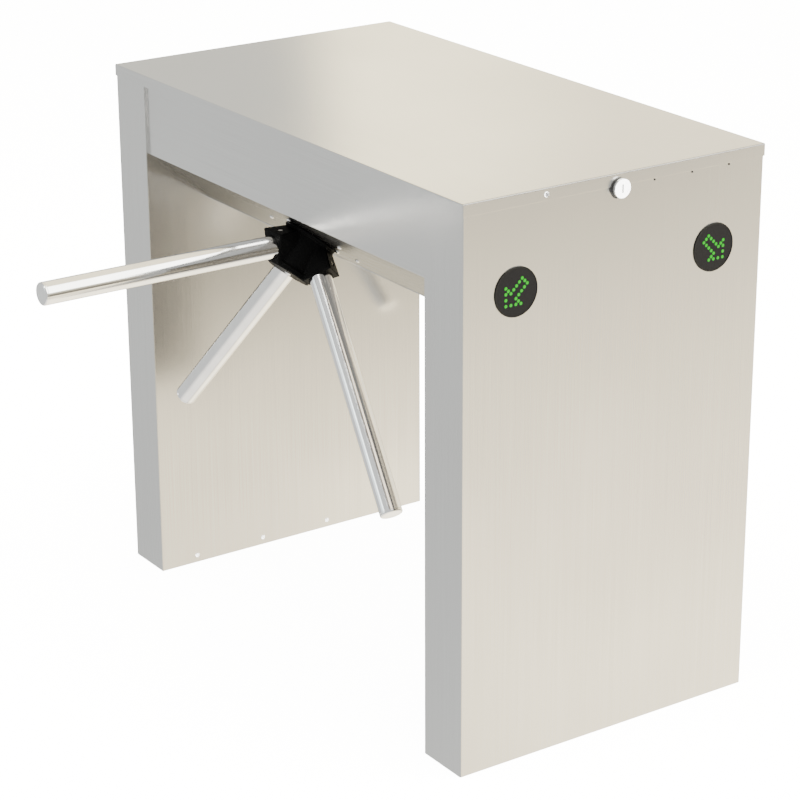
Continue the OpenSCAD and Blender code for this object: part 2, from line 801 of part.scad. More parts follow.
// The notch that lets the lid screw lift out of the near leg's top edge
module lid_screw_notch() {
    notch_half = lid_screw_shank / 2 + lid_notch_play;
    block(
        [half_l - sheet - past, lid_screw_y - notch_half, lid_screw_z - notch_half],
        [half_l + past, lid_screw_y + notch_half, body_h]
    );
}

module far_leg_shell() { color(satin_steel) at_far() leg_shell_body(); }

// The flat panel that closes a leg on the side of the passage
module leg_panel_body() {
    difference() {
        block([inner_x, -panel_half_w, 0], [inner_x + sheet, panel_half_w, case_top]);
        for (s = [-1, 1]) block(
            [inner_x - past, s * (rail_y + rail_w / 2) - rail_w / 2 - frame_gap,
                rail_top - rail_w - frame_gap],
            [inner_x + sheet + past, s * (rail_y + rail_w / 2) + rail_w / 2 + frame_gap,
                rail_top + frame_gap]
        );
        block(
            [inner_x - past, -cable_window_w / 2, window_z - cable_window_h / 2],
            [inner_x + sheet + past, cable_window_w / 2, window_z + cable_window_h / 2]
        );
        foot_screw_holes();
    }
}

module foot_screw_places() {
    for (n = [0 : foot_screws - 1])
        translate([inner_x, -foot_screw_span / 2 + n * foot_pitch, foot_screw_z])
            rotate([0, -90, 0]) children();
}

module foot_screw_holes() {
    foot_screw_places() translate([0, 0, -sheet - upstand_t - past])
        cylinder(h = sheet + upstand_t + 2 * past, d = screw_hole);
}

module near_leg_panel() { color(satin_steel) at_near() leg_panel_body(); }

module far_leg_panel() { color(satin_steel) at_far() leg_panel_body(); }

// A base plate with its upstand, four anchor holes and the cable entry
module base_plate_body() {
    difference() {
        union() {
            block([upstand_x, -frame_half_w, 0], [frame_outer_x, frame_half_w, base_t]);
            block([upstand_x, -frame_half_w, 0], [upstand_x + upstand_t, frame_half_w, upstand_h]);
        }
        for (x = [anchor_x, anchor_x - anchor_pitch], y = [-anchor_span / 2, anchor_span / 2])
            translate([x, y, -past]) cylinder(h = base_t + 2 * past, d = anchor_d);
        translate([cable_entry_x, 0, -past]) cylinder(h = base_t + 2 * past, d = cable_entry_d);
        foot_screw_holes();
    }
}

module base_plates() { color(frame_grey) at_both_ends() base_plate_body(); }

// Two square posts that stand on the base plate, with a cross bar between them
module leg_frame_body() {
    difference() {
        union() {
            for (y = [-post_y - post_w, post_y]) translate([post_x, y, base_t])
                square_tube(post_w, post_wall, rail_top - base_t);
            block(
                [post_x, -post_y - past, crossbar_top - post_w],
                [post_x + post_w, post_y + past, crossbar_top]
            );
        }
        block(
            [post_x + post_wall, -post_y + post_wall, crossbar_top - post_w + post_wall],
            [post_x + post_w - post_wall, post_y - post_wall, crossbar_top - post_wall]
        );
    }
}

module near_leg_frame() { color(frame_grey) at_near() leg_frame_body(); }

module far_leg_frame() { color(frame_grey) at_far() leg_frame_body(); }

// Bridge

// The section of a fascia, its sloping head plate and its lip, as (y, z) points
function fascia_points() =
    let (
        upper = [fascia_y + bend_r, fold_z + bend_r * tan(shaft_tilt / 2)],
        lower = [slope_y + bend_r * tan(slope_angle / 2), slope_z + bend_r],
        turn = 180 + shaft_tilt,
        lip_end = slope_y + lip_w
    )
    concat(
        [[fascia_y, case_top]],
        arc(upper, bend_r, 180, turn),
        arc(lower, bend_r, turn, 270),
        [[lip_end, slope_z], [lip_end, slope_z + sheet]],
        arc(lower, inner_bend_r, 270, turn),
        arc(upper, inner_bend_r, turn, 180),
        [[fascia_y + sheet, case_top]]
    );

module fascia_body() {
    difference() {
        translate([-inner_x, 0, 0]) rotate([90, 0, 90])
            linear_extrude(height = 2 * inner_x) polygon(fascia_points());
        at_front() {
            translate([0, 0, plate_back - past])
                cylinder(h = sheet + 2 * past, r = housing_r + housing_play);
            housing_screw_holes();
            chassis_screw_holes();
        }
        tray_screw_holes();
    }
}

module front_fascia() { color(satin_steel) fascia_body(); }

module rear_fascia() { color(satin_steel) rotate([0, 0, 180]) fascia_body(); }

module tray_screw_places() {
    for (n = [0 : tray_screws - 1])
        translate([-inner_x + tray_screw_inset + n * tray_pitch, tray_screw_y, slope_z - sheet])
            rotate([180, 0, 0]) children();
}

module tray_screw_holes() {
    tray_screw_places() translate([0, 0, -tray_screw_l])
        cylinder(h = tray_screw_l + past, d = screw_hole);
}

// The flat floor of the bridge, with turned-up ends
module bottom_tray() {
    end_half_w = -slope_y - lip_w - frame_gap;
    color(satin_steel) difference() {
        union() {
            block([-inner_x, -tray_half_w, slope_z - sheet], [inner_x, tray_half_w, slope_z]);
            for (s = [-1, 1]) block(
                [s * inner_x - (s + 1) / 2 * sheet, -end_half_w, slope_z - sheet],
                [s * inner_x - (s - 1) / 2 * sheet, end_half_w, slope_z + tray_end_h]
            );
        }
        at_both_ends() tray_screw_holes();
    }
}

module bridge_rails() {
    color(frame_grey) for (y = [-rail_y - rail_w, rail_y])
        translate([-post_x, y, rail_top]) rotate([0, 90, 0]) square_tube(rail_w, rail_wall, 2 * post_x);
}

// Fasteners of the casing

module housing_screw_places() {
    for (n = [0 : 2]) rotate([0, 0, 120 * n]) translate([0, housing_screw_r, plate_face]) children();
}

module housing_screw_holes() {
    housing_screw_places() translate([0, 0, -housing_screw_l - past])
        cylinder(h = housing_screw_l + 2 * past, d = screw_hole);
}

module chassis_screw_places() {
    for (x = [-chassis_screw_x, chassis_screw_x], y = [chassis_screw_high, -chassis_screw_low])
        translate([x, y, plate_face]) children();
}

module chassis_screw_holes() {
    chassis_screw_places() translate([0, 0, -chassis_screw_l - past])
        cylinder(h = chassis_screw_l + 2 * past, d = screw_hole);
}

module case_screws() {
    color(bright_steel) {
        at_both_ends() foot_screw_places() screw(screw_head_d, screw_head_h, screw_d, foot_screw_l);
        at_both_ends() tray_screw_places() screw(screw_head_d, screw_head_h, screw_d, tray_screw_l);
        at_both_rotors() housing_screw_places()
            screw(housing_screw_head_d, housing_screw_head_h, screw_d, housing_screw_l);
        at_both_rotors() chassis_screw_places() screw(screw_head_d, screw_head_h, screw_d, chassis_screw_l);
        for (n = [0 : 2]) on_end(half_l, rivet_first + n * rivet_pitch, rivet_z) rivet();
    }
}

// A blind rivet through the leg's end face and the terminal rail
module rivet() {
    cylinder(h = rivet_head_h, d = rivet_head_d);
    translate([0, 0, -sheet - din_t - past]) cylinder(h = sheet + din_t + past, d = rivet_d);
}

// A top-hat rail inside the near leg, with the terminals for the site's wiring
module terminal_rail() {
    web_x = half_l - sheet;
    color(zinc_steel) difference() {
        union() {
            block(
                [web_x - din_t, din_y, rivet_z - din_web / 2],
                [web_x, din_y + din_l, rivet_z + din_web / 2]
            );
            for (s = [-1, 1]) {
                block(
                    [web_x - din_depth, din_y, rivet_z + s * din_web / 2 - (s + 1) / 2 * din_t],
                    [web_x, din_y + din_l, rivet_z + s * din_web / 2 - (s - 1) / 2 * din_t]
                );
                block(
                    [web_x - din_depth, din_y, rivet_z + s * (din_web + din_w) / 4 - (din_w - din_web) / 4],
                    [web_x - din_depth + din_t, din_y + din_l, rivet_z + s * (din_web + din_w) / 4
                        + (din_w - din_web) / 4]
                );
            }
        }
        for (n = [0 : 2]) on_end(web_x - din_t - past, rivet_first + n * rivet_pitch, rivet_z)
            cylinder(h = din_t + 2 * past, d = rivet_d + screw_play);
    }
    color(dark_plastic) for (n = [0 : terminals - 1]) block(
        [web_x - din_depth - terminal_depth, din_y + n * terminal_pitch, rivet_z - din_w / 2],
        [web_x - din_depth, din_y + n * terminal_pitch + terminal_w, rivet_z + din_w / 2]
    );
}

// Indicators

// The places of one end's indicators, with z outwards and x towards the floor
module indicator_places(x) {
    for (s = [-1, 1]) on_end(x, s * indicator_y, indicator_z) children();
}

// The lights of one end: each arrow points down and away from the middle
module led_places(x) {
    for (s = [-1, 1], p = arrow)
        on_end(x, s * indicator_y, indicator_z)
            translate([(p[1] - p[0]) / sqrt(2), -s * (p[0] + p[1]) / sqrt(2), 0]) children();
}

module indicator_discs() {
    difference() {
        union() {
            indicator_places(half_l) cylinder(h = indicator_proud, d = indicator_d);
            indicator_places(indicator_floor)
                cylinder(h = half_l - indicator_floor + past, r = indicator_hole_r - indicator_play);
        }
        led_places(indicator_floor - past) cylinder(
            h = half_l - indicator_floor + indicator_proud + 2 * past,
            d = led_d + 2 * led_play
        );
    }
}

module near_indicators() { color(dark_plastic) at_near() indicator_discs(); }

module far_indicators() { color(dark_plastic) at_far() indicator_discs(); }

module indicator_boxes() {
    color(dark_plastic) at_both_ends() difference() {
        indicator_places(half_l - sheet - indicator_box_depth)
            cylinder(h = indicator_box_depth, d = indicator_box_d);
        indicator_places(indicator_floor) cylinder(h = indicator_depth + past, r = indicator_hole_r);
    }
}

module indicator_leds() {
    color(light_green) at_both_ends()
        led_places(indicator_floor) cylinder(h = led_top - indicator_floor, d = led_d);
}

// Lid

module lid() {
    color(satin_steel) difference() {
        round_top_box(lid_half_l, lid_half_w, rim_low, body_h, bend_r);
        round_top_box(lid_half_l - sheet, lid_half_w - sheet, rim_low - past, lid_under, inner_bend_r);
        on_end(half_l - past, 0, lock_z) cylinder(h = 2 * past + sheet + lid_gap, r = rim_notch_r);
        on_end(half_l - past, lid_screw_y, lid_screw_z)
            cylinder(h = 2 * past + sheet + lid_gap, d = lid_screw_shank + screw_play);
    }
}

// A screw through the lid's rim, with its washer and nut on the inside
module lid_screw() {
    color(bright_steel) on_end(lid_half_l, lid_screw_y, lid_screw_z) {
        screw(lid_screw_head, screw_head_h, lid_screw_shank, lid_screw_l);
        translate([0, 0, lid_screw_end - lid_screw_l])
            cylinder(h = lid_nut_t, d = 2 * lid_screw_shank, $fn = 6);
    }
}

// The hooked catch under the lid that the lock's cam holds down
module lid_catch() {
    section = [
        [catch_side, catch_z],
        [catch_y + catch_t, catch_z],
        [catch_y + catch_t, lid_under - catch_t],
        [catch_y + catch_flange, lid_under - catch_t],
        [catch_y + catch_flange, lid_under],
        [catch_y, lid_under],
        [catch_y, catch_z + catch_t],
        [catch_side, catch_z + catch_t]
    ];
    color(zinc_steel) translate([catch_x, 0, 0]) rotate([90, 0, 90])
        linear_extrude(height = catch_l) polygon(section);
}

// Both hinges' places on the far end, with y along the pin
module hinge_places() {
    for (s = [-1, 1]) translate([-pin_x, s * hinge_from_middle, pin_z]) children();
}

// One of a hinge's five knuckles, counted from its middle
module knuckle(n) {
    translate([0, (n + 0.5) * knuckle_w - knuckle_gap / 2, 0]) rotate([90, 0, 0])
        cylinder(h = knuckle_w - knuckle_gap, d = knuckle_d);
}

// The leaves on the far leg, with their knuckles and the pins
module lid_hinge_leaves() {
    leaf_x = pin_x - half_l - leaf_t;
    color(bright_steel) hinge_places() {
        block(
            [leaf_x, -hinge_w / 2, leaf_top - leaf_h - pin_z],
            [leaf_x + leaf_t, hinge_w / 2, leaf_top - pin_z]
        );
        for (n = [-2, 0, 2]) {
            knuckle(n);
            block(
                [leaf_x, (n - 0.5) * knuckle_w + knuckle_gap / 2, leaf_top - pin_z - past],
                [leaf_x + leaf_t, (n + 0.5) * knuckle_w - knuckle_gap / 2, 0]
            );
        }
        translate([0, hinge_w / 2, 0]) rotate([90, 0, 0]) cylinder(h = hinge_w, d = hinge_pin_d);
    }
}

// The leaves on the lid's rim, with the knuckles between those of the leg
module lid_hinge_straps() {
    strap_x = pin_x - lid_half_l - leaf_t;
    color(bright_steel) hinge_places() difference() {
        union() {
            block(
                [strap_x, -hinge_w / 2, strap_low - pin_z],
                [strap_x + leaf_t, hinge_w / 2, strap_low - pin_z + strap_h]
            );
            for (n = [-1, 1]) {
                knuckle(n);
                block(
                    [strap_x, (n - 0.5) * knuckle_w + knuckle_gap / 2, 0],
                    [strap_x + leaf_t, (n + 0.5) * knuckle_w - knuckle_gap / 2, strap_low - pin_z + past]
                );
            }
        }
        translate([0, hinge_w / 2 + past, 0]) rotate([90, 0, 0])
            cylinder(h = hinge_w + 2 * past, d = hinge_pin_d + 2 * fit_gap);
    }
}

// Lock

module lock_body() {
    color(dark_plastic) difference() {
        union() {
            on_end(lock_in_x, 0, lock_z) cylinder(h = collar_x - lock_in_x + past, d = lock_d);
            on_end(seat_x, 0, lock_z) cylinder(h = collar_x - seat_x + past, d = lock_shoulder_d);
            on_end(seat_x, 0, lock_z) cylinder(h = lock_seat_t, d = lock_seat_d + 2 * lock_seat_lap);
            on_end(collar_x, 0, lock_z) cylinder(h = lock_collar_t, d = lock_collar_d);
        }
        on_end(lock_in_x - past, 0, lock_z)
            cylinder(h = face_x - lock_in_x + 2 * past, d = spindle_d + 2 * spindle_play);
    }
}

module lock_nut() {
    color(bright_steel) on_end(seat_x - lock_nut_t, 0, lock_z) difference() {
        cylinder(h = lock_nut_t, d = lock_nut_d, $fn = 6);
        translate([0, 0, -past]) cylinder(h = lock_nut_t + 2 * past, d = lock_d + screw_play);
    }
}

// The turning face with its key slot, and the spindle that carries the cam
module lock_plug() {
    color(bright_steel) difference() {
        union() {
            on_end(cam_x, 0, lock_z) cylinder(h = face_x - cam_x + past, d = spindle_d);
            on_end(face_x, 0, lock_z) cylinder(h = lock_face_t, d = lock_face_d);
        }
        translate([face_x + lock_face_t, 0, lock_z])
            cube([2 * key_slot_depth, key_slot_w, key_slot_l], center = true);
    }
}

// The cam: its finger stands up when the lid is free, and turns over the catch's lip to lock it
module lock_cam() {
    color(zinc_steel) difference() {
        union() {
            on_end(cam_x, 0, lock_z) cylinder(h = cam_t, r = cam_hub_r);
            block([cam_x, -cam_w / 2, lock_z], [cam_x + cam_t, cam_w / 2, lock_z + cam_reach]);
        }
        on_end(cam_x - past, 0, lock_z) cylinder(h = cam_t + 2 * past, d = spindle_d + 2 * fit_gap);
    }
}

// Electronics on the tray

module controller_board() {
    top = board_lift + board_t;
    connector_l = board_l - 6 * pillar_d;
    color(board_green) translate([-unit_x, 0, slope_z]) {
        block([-board_l / 2, -board_w / 2, board_lift], [board_l / 2, board_w / 2, top]);
        for (sx = [-1, 1], sy = [-1, 1])
            translate([sx * (board_l / 2 - pillar_inset), sy * (board_w / 2 - pillar_inset), 0])
                cylinder(h = board_lift + board_t / 2, d = pillar_d);
        for (n = [-1 : 2]) translate([n * (relay_w + 6), 0, board_lift + board_t / 2])
            cube([relay_w, relay_w, relay_h]);
        for (s = [-1, 1])
            translate([0, s * (board_w / 2 - connector_w), top + connector_h / 2 - board_t / 2])
                cube([connector_l, connector_w, connector_h], center = true);
    }
}

module power_supply() {
    slot_pitch = supply_l / (supply_slots + 1);
    color(zinc_steel) translate([unit_x, 0, slope_z]) difference() {
        block([-supply_l / 2, -supply_w / 2, 0], [supply_l / 2, supply_w / 2, supply_h]);
        for (n = [1 : supply_slots])
            translate([-supply_l / 2 + n * slot_pitch - slot_w / 2, -supply_w / 3, supply_h - slot_depth])
                cube([slot_w, supply_w * 2 / 3, slot_depth + past]);
    }
}

// Mechanism behind each sloping plate

// Two plates on four spacers, with the pawls' pivot pins on the back plate
module chassis_body() {
    difference() {
        union() {
            block(
                [-chassis_half_l, -chassis_low, chassis_back],
                [chassis_half_l, chassis_high, chassis_face]
            );
            block(
                [-chassis_half_l, -chassis_low, back_plate_back],
                [chassis_half_l, back_plate_high, back_plate_face]
            );
            for (s = [-1, 1], p = [spacer_low, spacer_high])
                translate([s * p[0], p[1], back_plate_face - past])
                    cylinder(h = chassis_back - back_plate_face + 2 * past, d = spacer_d);
            for (s = [-1, 1]) translate([s * pawl_x, pawl_y, back_plate_face - past])
                cylinder(h = disc_front - back_plate_face + 2 * past, d = pawl_pin_d);
        }
        translate([0, 0, chassis_back - past])
            cylinder(h = chassis_t + 2 * past, r = housing_r + housing_play);
        translate([0, 0, back_plate_back - past])
            cylinder(h = back_plate_t + 2 * past, r = shaft_d / 2 + back_hole_play);
        translate([-pinion_x, 0, back_plate_back - past])
            cylinder(h = back_plate_t + 2 * past, r = motor_shaft_d / 2 + back_hole_play);
        housing_screw_holes();
        chassis_screw_holes();
    }
}

module front_chassis() { color(zinc_steel) at_front() chassis_body(); }

module rear_chassis() { color(zinc_steel) at_rear() chassis_body(); }

// The housing of the two shaft bearings
module bearing_housing_body() {
    difference() {
        union() {
            translate([0, 0, housing_end]) cylinder(h = housing_face - housing_end, r = housing_r);
            translate([0, 0, chassis_back - housing_flange_t])
                cylinder(h = housing_flange_t, r = housing_screw_r + housing_flange_edge);
        }
        translate([0, 0, front_bearing_top - bearing_w]) cylinder(h = bearing_w, d = bearing_d);
        translate([0, 0, housing_end - past]) cylinder(h = bearing_w + past, d = bearing_d);
        translate([0, 0, housing_end])
            cylinder(h = housing_face - housing_end + past, r = shaft_d / 2 + housing_bore_play);
        housing_screw_holes();
    }
}

module front_bearing_housing() { color(zinc_steel) at_front() bearing_housing_body(); }

module rear_bearing_housing() { color(zinc_steel) at_rear() bearing_housing_body(); }

module bearings() {
    color(bright_steel) at_both_rotors()
        for (top = [front_bearing_top, housing_end + bearing_w])
            translate([0, 0, top - bearing_w]) difference() {
                cylinder(h = bearing_w, d = bearing_d);
                translate([0, 0, -past]) cylinder(h = bearing_w + 2 * past, d = shaft_d + 2 * bearing_play);
            }
}

// The electromagnets that pull the pawls into the lock disc
module magnets() {
    color(brass_yellow) at_both_rotors() for (s = [-1, 1]) mirror([(1 - s) / 2, 0, 0]) {
        block(
            [pole_x + pole_l, magnet_y - magnet_w / 2, back_plate_face],
            [pole_x + pole_l + magnet_l, magnet_y + magnet_w / 2, back_plate_face + magnet_depth]
        );
        translate([pole_x, magnet_y, disc_back + disc_t / 2]) rotate([0, 90, 0])
            cylinder(h = pole_l + past, d = pole_d);
    }
}

// The motor that carries the arms on to their next stop
module motor_body() {
    translate([-pinion_x, 0, back_plate_back]) difference() {
        union() {
            translate([-motor_flange_w / 2, -motor_flange_w / 2, -motor_flange_t])
                cube([motor_flange_w, motor_flange_w, motor_flange_t]);
            translate([0, 0, -motor_l]) cylinder(h = motor_l - past, d = motor_d);
        }
        translate([0, 0, -motor_shaft_in - past])
            cylinder(h = motor_shaft_in + 2 * past, d = motor_shaft_d + 2 * bearing_play);
    }
}

module front_motor() { color(motor_grey) at_front() motor_body(); }

module rear_motor() { color(motor_grey) at_rear() motor_body(); }

// Turning parts of a rotor

module shaft_body() {
    difference() {
        translate([0, 0, shaft_end]) cylinder(h = shaft_top - shaft_end, d = shaft_d);
        translate([0, 0, shaft_top - nose_bolt_in]) cylinder(h = nose_bolt_in + past, d = nose_bolt_d);
    }
}

// One arm socket of the hub, as a solid block with flared sides
module socket_block() {
    root_s = (flange_top + mouth_back * sin(arm_cone)) / cos(arm_cone);
    flare = (mouth_back_w - socket_root_w) / (mouth_s - root_s);
    foot_w = mouth_back_w - flare * mouth_s;
    intersection() {
        linear_extrude(height = mouth_s) polygon([
            [-mouth_back_w, mouth_back],
            [mouth_back_w, mouth_back],
            [mouth_front_w, -mouth_front],
            [-mouth_front_w, -mouth_front]
        ]);
        translate([0, mouth_s, 0]) rotate([90, 0, 0]) linear_extrude(height = 2 * mouth_s) polygon([
            [-foot_w, 0],
            [foot_w, 0],
            [mouth_back_w, mouth_s],
            [-mouth_back_w, mouth_s]
        ]);
    }
}

// The hub: three flared sockets on a core, between a nose disc and a flange
module hub_body() {
    difference() {
        union() {
            intersection() {
                for (n = [0 : 2]) at_arm(n) socket_block();
                translate([0, 0, flange_top]) cylinder(h = nose_z - nose_t / 4 - flange_top, r = 2 * mouth_s);
            }
            translate([0, 0, flange_foot]) cylinder(h = nose_z - flange_foot - past, r = hub_core_r);
            translate([0, 0, nose_z - nose_t]) cylinder(h = nose_t, r = nose_r);
            translate([0, 0, flange_foot]) cylinder(h = hub_flange_t, r = hub_flange_r);
            translate([0, 0, front_bearing_top + end_play])
                cylinder(h = flange_foot - front_bearing_top, r = spigot_r);
        }
        at_arms() translate([0, 0, arm_root]) cylinder(h = mouth_s, d = socket_d);
        at_arms() translate([0, 0, set_screw_s]) rotate([-90, 0, 0])
            cylinder(h = 2 * mouth_back, d = set_screw_d);
        translate([0, 0, front_bearing_top - past])
            cylinder(h = shaft_top - front_bearing_top + past, d = bush_d);
        cylinder(h = nose_z + past, d = nose_bolt_d + screw_play);
    }
}

module arm_body(n) {
    at_arm(n) translate([0, 0, arm_root]) difference() {
        cylinder(h = arm_reach - cap_t - arm_root, d = arm_d);
        translate([0, 0, -past]) cylinder(h = arm_reach, d = arm_d - 2 * arm_wall);
    }
}

// The caps in the arms' tips, with a rounded rim
module arm_caps_body() {
    at_arms() translate([0, 0, arm_reach - cap_t]) {
        rotate_extrude() {
            square([arm_d / 2, cap_t - cap_edge_r]);
            square([arm_d / 2 - cap_edge_r, cap_t]);
            intersection() {
                translate([arm_d / 2 - cap_edge_r, cap_t - cap_edge_r]) circle(r = cap_edge_r);
                square([arm_d, cap_t]);
            }
        }
        translate([0, 0, -cap_plug_l])
            cylinder(h = cap_plug_l + past, d = arm_d - 2 * arm_wall - 2 * fit_gap);
    }
}

// The nose bolt and the three set screws that hold the arms
module hub_screws_body() {
    translate([0, 0, nose_z]) screw(nose_bolt_head, nose_bolt_head_h, nose_bolt_d,
        nose_z - shaft_top + nose_bolt_in);
    at_arms() translate([0, arm_d / 2 + fit_gap, set_screw_s]) rotate([-90, 0, 0])
        cylinder(h = mouth_back - arm_d / 2 - fit_gap - set_screw_sunk, d = set_screw_d - screw_play);
}

// The disc whose notches the pawls lock, with its boss towards the bearing
module lock_disc_body() {
    difference() {
        union() {
            translate([0, 0, disc_back]) cylinder(h = disc_t, r = disc_r);
            translate([0, 0, disc_front - past])
                cylinder(h = housing_end - end_play - disc_front + past, d = inner_boss_d);
        }
        for (n = [0 : notches - 1]) rotate([0, 0, n * 360 / notches]) block(
            [disc_r - notch_depth, -notch_w / 2, disc_back - past],
            [disc_r + notch_w, notch_w / 2, disc_front + past]
        );
        translate([0, 0, disc_back - past])
            cylinder(h = housing_end - disc_back + 2 * past, d = bush_d);
    }
}

module drive_gear_body() {
    difference() {
        union() {
            translate([0, 0, gear_back]) linear_extrude(height = gear_t) polygon(gear_points(gear_teeth));
            translate([0, 0, gear_front - past]) cylinder(h = gear_gap + past, d = boss_d);
        }
        translate([0, 0, gear_back - past])
            cylinder(h = gear_t + gear_gap + 2 * past, d = bush_d);
    }
}

// The pinion on the motor's shaft, turned half a tooth so that it meshes
module pinion_body() {
    translate([-pinion_x, 0, 0]) {
        translate([0, 0, gear_back]) linear_extrude(height = gear_t)
            rotate(180 / pinion_teeth) polygon(gear_points(pinion_teeth));
        translate([0, 0, motor_shaft_end])
            cylinder(h = gear_back - motor_shaft_end + past, d = motor_shaft_d);
    }
}

// A pawl on its pivot: a tooth below, and above it a tail that the magnet pulls
module pawl_body() {
    translate([0, 0, disc_back]) linear_extrude(height = disc_t) difference() {
        union() {
            translate([pawl_x, pawl_y]) circle(r = pawl_boss_r);
            translate([pawl_x - pawl_w / 2, -pawl_lead - pawl_tooth_w / 2])
                square([pawl_w, pawl_y + pawl_tail + pawl_lead + pawl_tooth_w / 2]);
            translate([pawl_tip_x, -pawl_lead - pawl_tooth_w / 2])
                square([pawl_x - pawl_tip_x, pawl_tooth_w]);
        }
        translate([pawl_x, pawl_y]) circle(d = pawl_pin_d + 2 * pawl_play);
    }
}

module front_shaft() { color(bright_steel) at_front() shaft_body(); }

module front_hub() { color(hub_black) at_front() hub_body(); }

module front_arm_1() { color(bright_steel) at_front() arm_body(0); }

module front_arm_2() { color(bright_steel) at_front() arm_body(1); }

module front_arm_3() { color(bright_steel) at_front() arm_body(2); }

module front_arm_caps() { color(bright_steel) at_front() arm_caps_body(); }

module front_hub_screws() { color(bright_steel) at_front() hub_screws_body(); }

module front_lock_disc() { color(zinc_steel) at_front() lock_disc_body(); }

module front_drive_gear() { color(brass_yellow) at_front() drive_gear_body(); }

module front_pinion() { color(bright_steel) at_front() pinion_body(); }

module front_pawl_a() { color(zinc_steel) at_front() pawl_body(); }

module front_pawl_b() { color(zinc_steel) at_front() mirror([1, 0, 0]) pawl_body(); }

module rear_shaft() { color(bright_steel) at_rear() shaft_body(); }

module rear_hub() { color(hub_black) at_rear() hub_body(); }

module rear_arm_1() { color(bright_steel) at_rear() arm_body(0); }

module rear_arm_2() { color(bright_steel) at_rear() arm_body(1); }

module rear_arm_3() { color(bright_steel) at_rear() arm_body(2); }

module rear_arm_caps() { color(bright_steel) at_rear() arm_caps_body(); }

module rear_hub_screws() { color(bright_steel) at_rear() hub_screws_body(); }

module rear_lock_disc() { color(zinc_steel) at_rear() lock_disc_body(); }

module rear_drive_gear() { color(brass_yellow) at_rear() drive_gear_body(); }

module rear_pinion() { color(bright_steel) at_rear() pinion_body(); }

module rear_pawl_a() { color(zinc_steel) at_rear() pawl_body(); }

module rear_pawl_b() { color(zinc_steel) at_rear() mirror([1, 0, 0]) pawl_body(); }

far_leg_shell();
near_leg_shell();
far_leg_panel();
near_leg_panel();
base_plates();
far_leg_frame();
near_leg_frame();
front_fascia();
rear_fascia();
bottom_tray();
bridge_rails();
case_screws();
terminal_rail();
lock_body();
lock_nut();
controller_board();
power_supply();
near_indicators();
far_indicators();
indicator_boxes();
indicator_leds();
bearings();
magnets();
lid_hinge_leaves();
front_chassis();
rear_chassis();
front_bearing_housing();
rear_bearing_housing();
front_motor();
rear_motor();
lid();
lid_hinge_straps();
lid_catch();
lid_screw();
lock_plug();
lock_cam();
front_shaft();
front_hub();
front_arm_1();
front_arm_2();
front_arm_3();
front_arm_caps();
front_hub_screws();
front_lock_disc();
front_drive_gear();
front_pinion();
front_pawl_a();
front_pawl_b();
rear_shaft();
rear_hub();
rear_arm_1();
rear_arm_2();
rear_arm_3();
rear_arm_caps();
rear_hub_screws();
rear_lock_disc();
rear_drive_gear();
rear_pinion();
rear_pawl_a();
rear_pawl_b();
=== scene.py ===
"""Looks of a double-lane tripod turnstile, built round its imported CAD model.

Metres, in the CAD's frame: +X is the near end with the lock, -Y the front lane, +Z up, the floor at z = 0.
"""
import math

import bmesh
import bpy
import numpy as np
from mathutils import Matrix, Vector


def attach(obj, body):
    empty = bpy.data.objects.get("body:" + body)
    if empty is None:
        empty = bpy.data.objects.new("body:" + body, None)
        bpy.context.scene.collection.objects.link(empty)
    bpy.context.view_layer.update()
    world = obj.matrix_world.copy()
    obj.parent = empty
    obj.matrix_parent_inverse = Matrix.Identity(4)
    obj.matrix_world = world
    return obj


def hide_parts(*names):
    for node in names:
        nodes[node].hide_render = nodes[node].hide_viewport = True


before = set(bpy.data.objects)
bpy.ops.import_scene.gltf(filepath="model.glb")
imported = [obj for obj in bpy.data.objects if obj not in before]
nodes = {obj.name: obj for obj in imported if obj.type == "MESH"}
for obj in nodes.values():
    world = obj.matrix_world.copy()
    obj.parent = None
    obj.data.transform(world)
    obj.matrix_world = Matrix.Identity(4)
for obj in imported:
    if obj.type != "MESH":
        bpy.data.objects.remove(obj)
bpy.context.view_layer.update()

BOTH = ("front_", "rear_")
SLOTS = {
    "casing_steel": ["near_leg_shell", "far_leg_shell", "near_leg_panel", "far_leg_panel", "front_fascia",
                     "rear_fascia", "bottom_tray", "lid"],
    "frame_paint": ["base_plates", "near_leg_frame", "far_leg_frame", "bridge_rails"],
    "fastener_steel": ["case_screws", "lid_screw"] + [side + "hub_screws" for side in BOTH],
    "zinc_steel": ["terminal_rail", "lid_hinge_leaves", "lid_hinge_straps", "lid_catch", "lock_cam",
                   "front_chassis", "rear_chassis"] + [side + "pawl_" + ab for side in BOTH for ab in "ab"],
    "lock_metal": ["lock_body", "lock_nut"],
    "lock_face": ["lock_plug"],
    "board": ["controller_board"],
    "indicator_plastic": ["near_indicators", "far_indicators", "indicator_boxes"],
    "green_light": ["indicator_leds"],
    "bearing_steel": ["bearings"] + [side + part for side in BOTH for part in ("shaft", "lock_disc")],
    "cast_aluminium": ["front_bearing_housing", "rear_bearing_housing", "power_supply"],
    "motor_paint": ["front_motor", "rear_motor", "magnets"],
    "polished_steel": [side + part for side in BOTH for part in ("arm_1", "arm_2", "arm_3", "arm_caps")],
    "black_paint": ["front_hub", "rear_hub"],
    "gear_brass": [side + part for side in BOTH for part in ("drive_gear", "pinion")],
}


# Materials

def new_material(name):
    """A node material with one Principled shader; returns the material, its node tree and the shader."""
    made = bpy.data.materials.new(name)
    made.use_nodes = True
    tree = made.node_tree
    tree.nodes.clear()
    shader = tree.nodes.new("ShaderNodeBsdfPrincipled")
    output = tree.nodes.new("ShaderNodeOutputMaterial")
    tree.links.new(shader.outputs["BSDF"], output.inputs["Surface"])
    return made, tree, shader


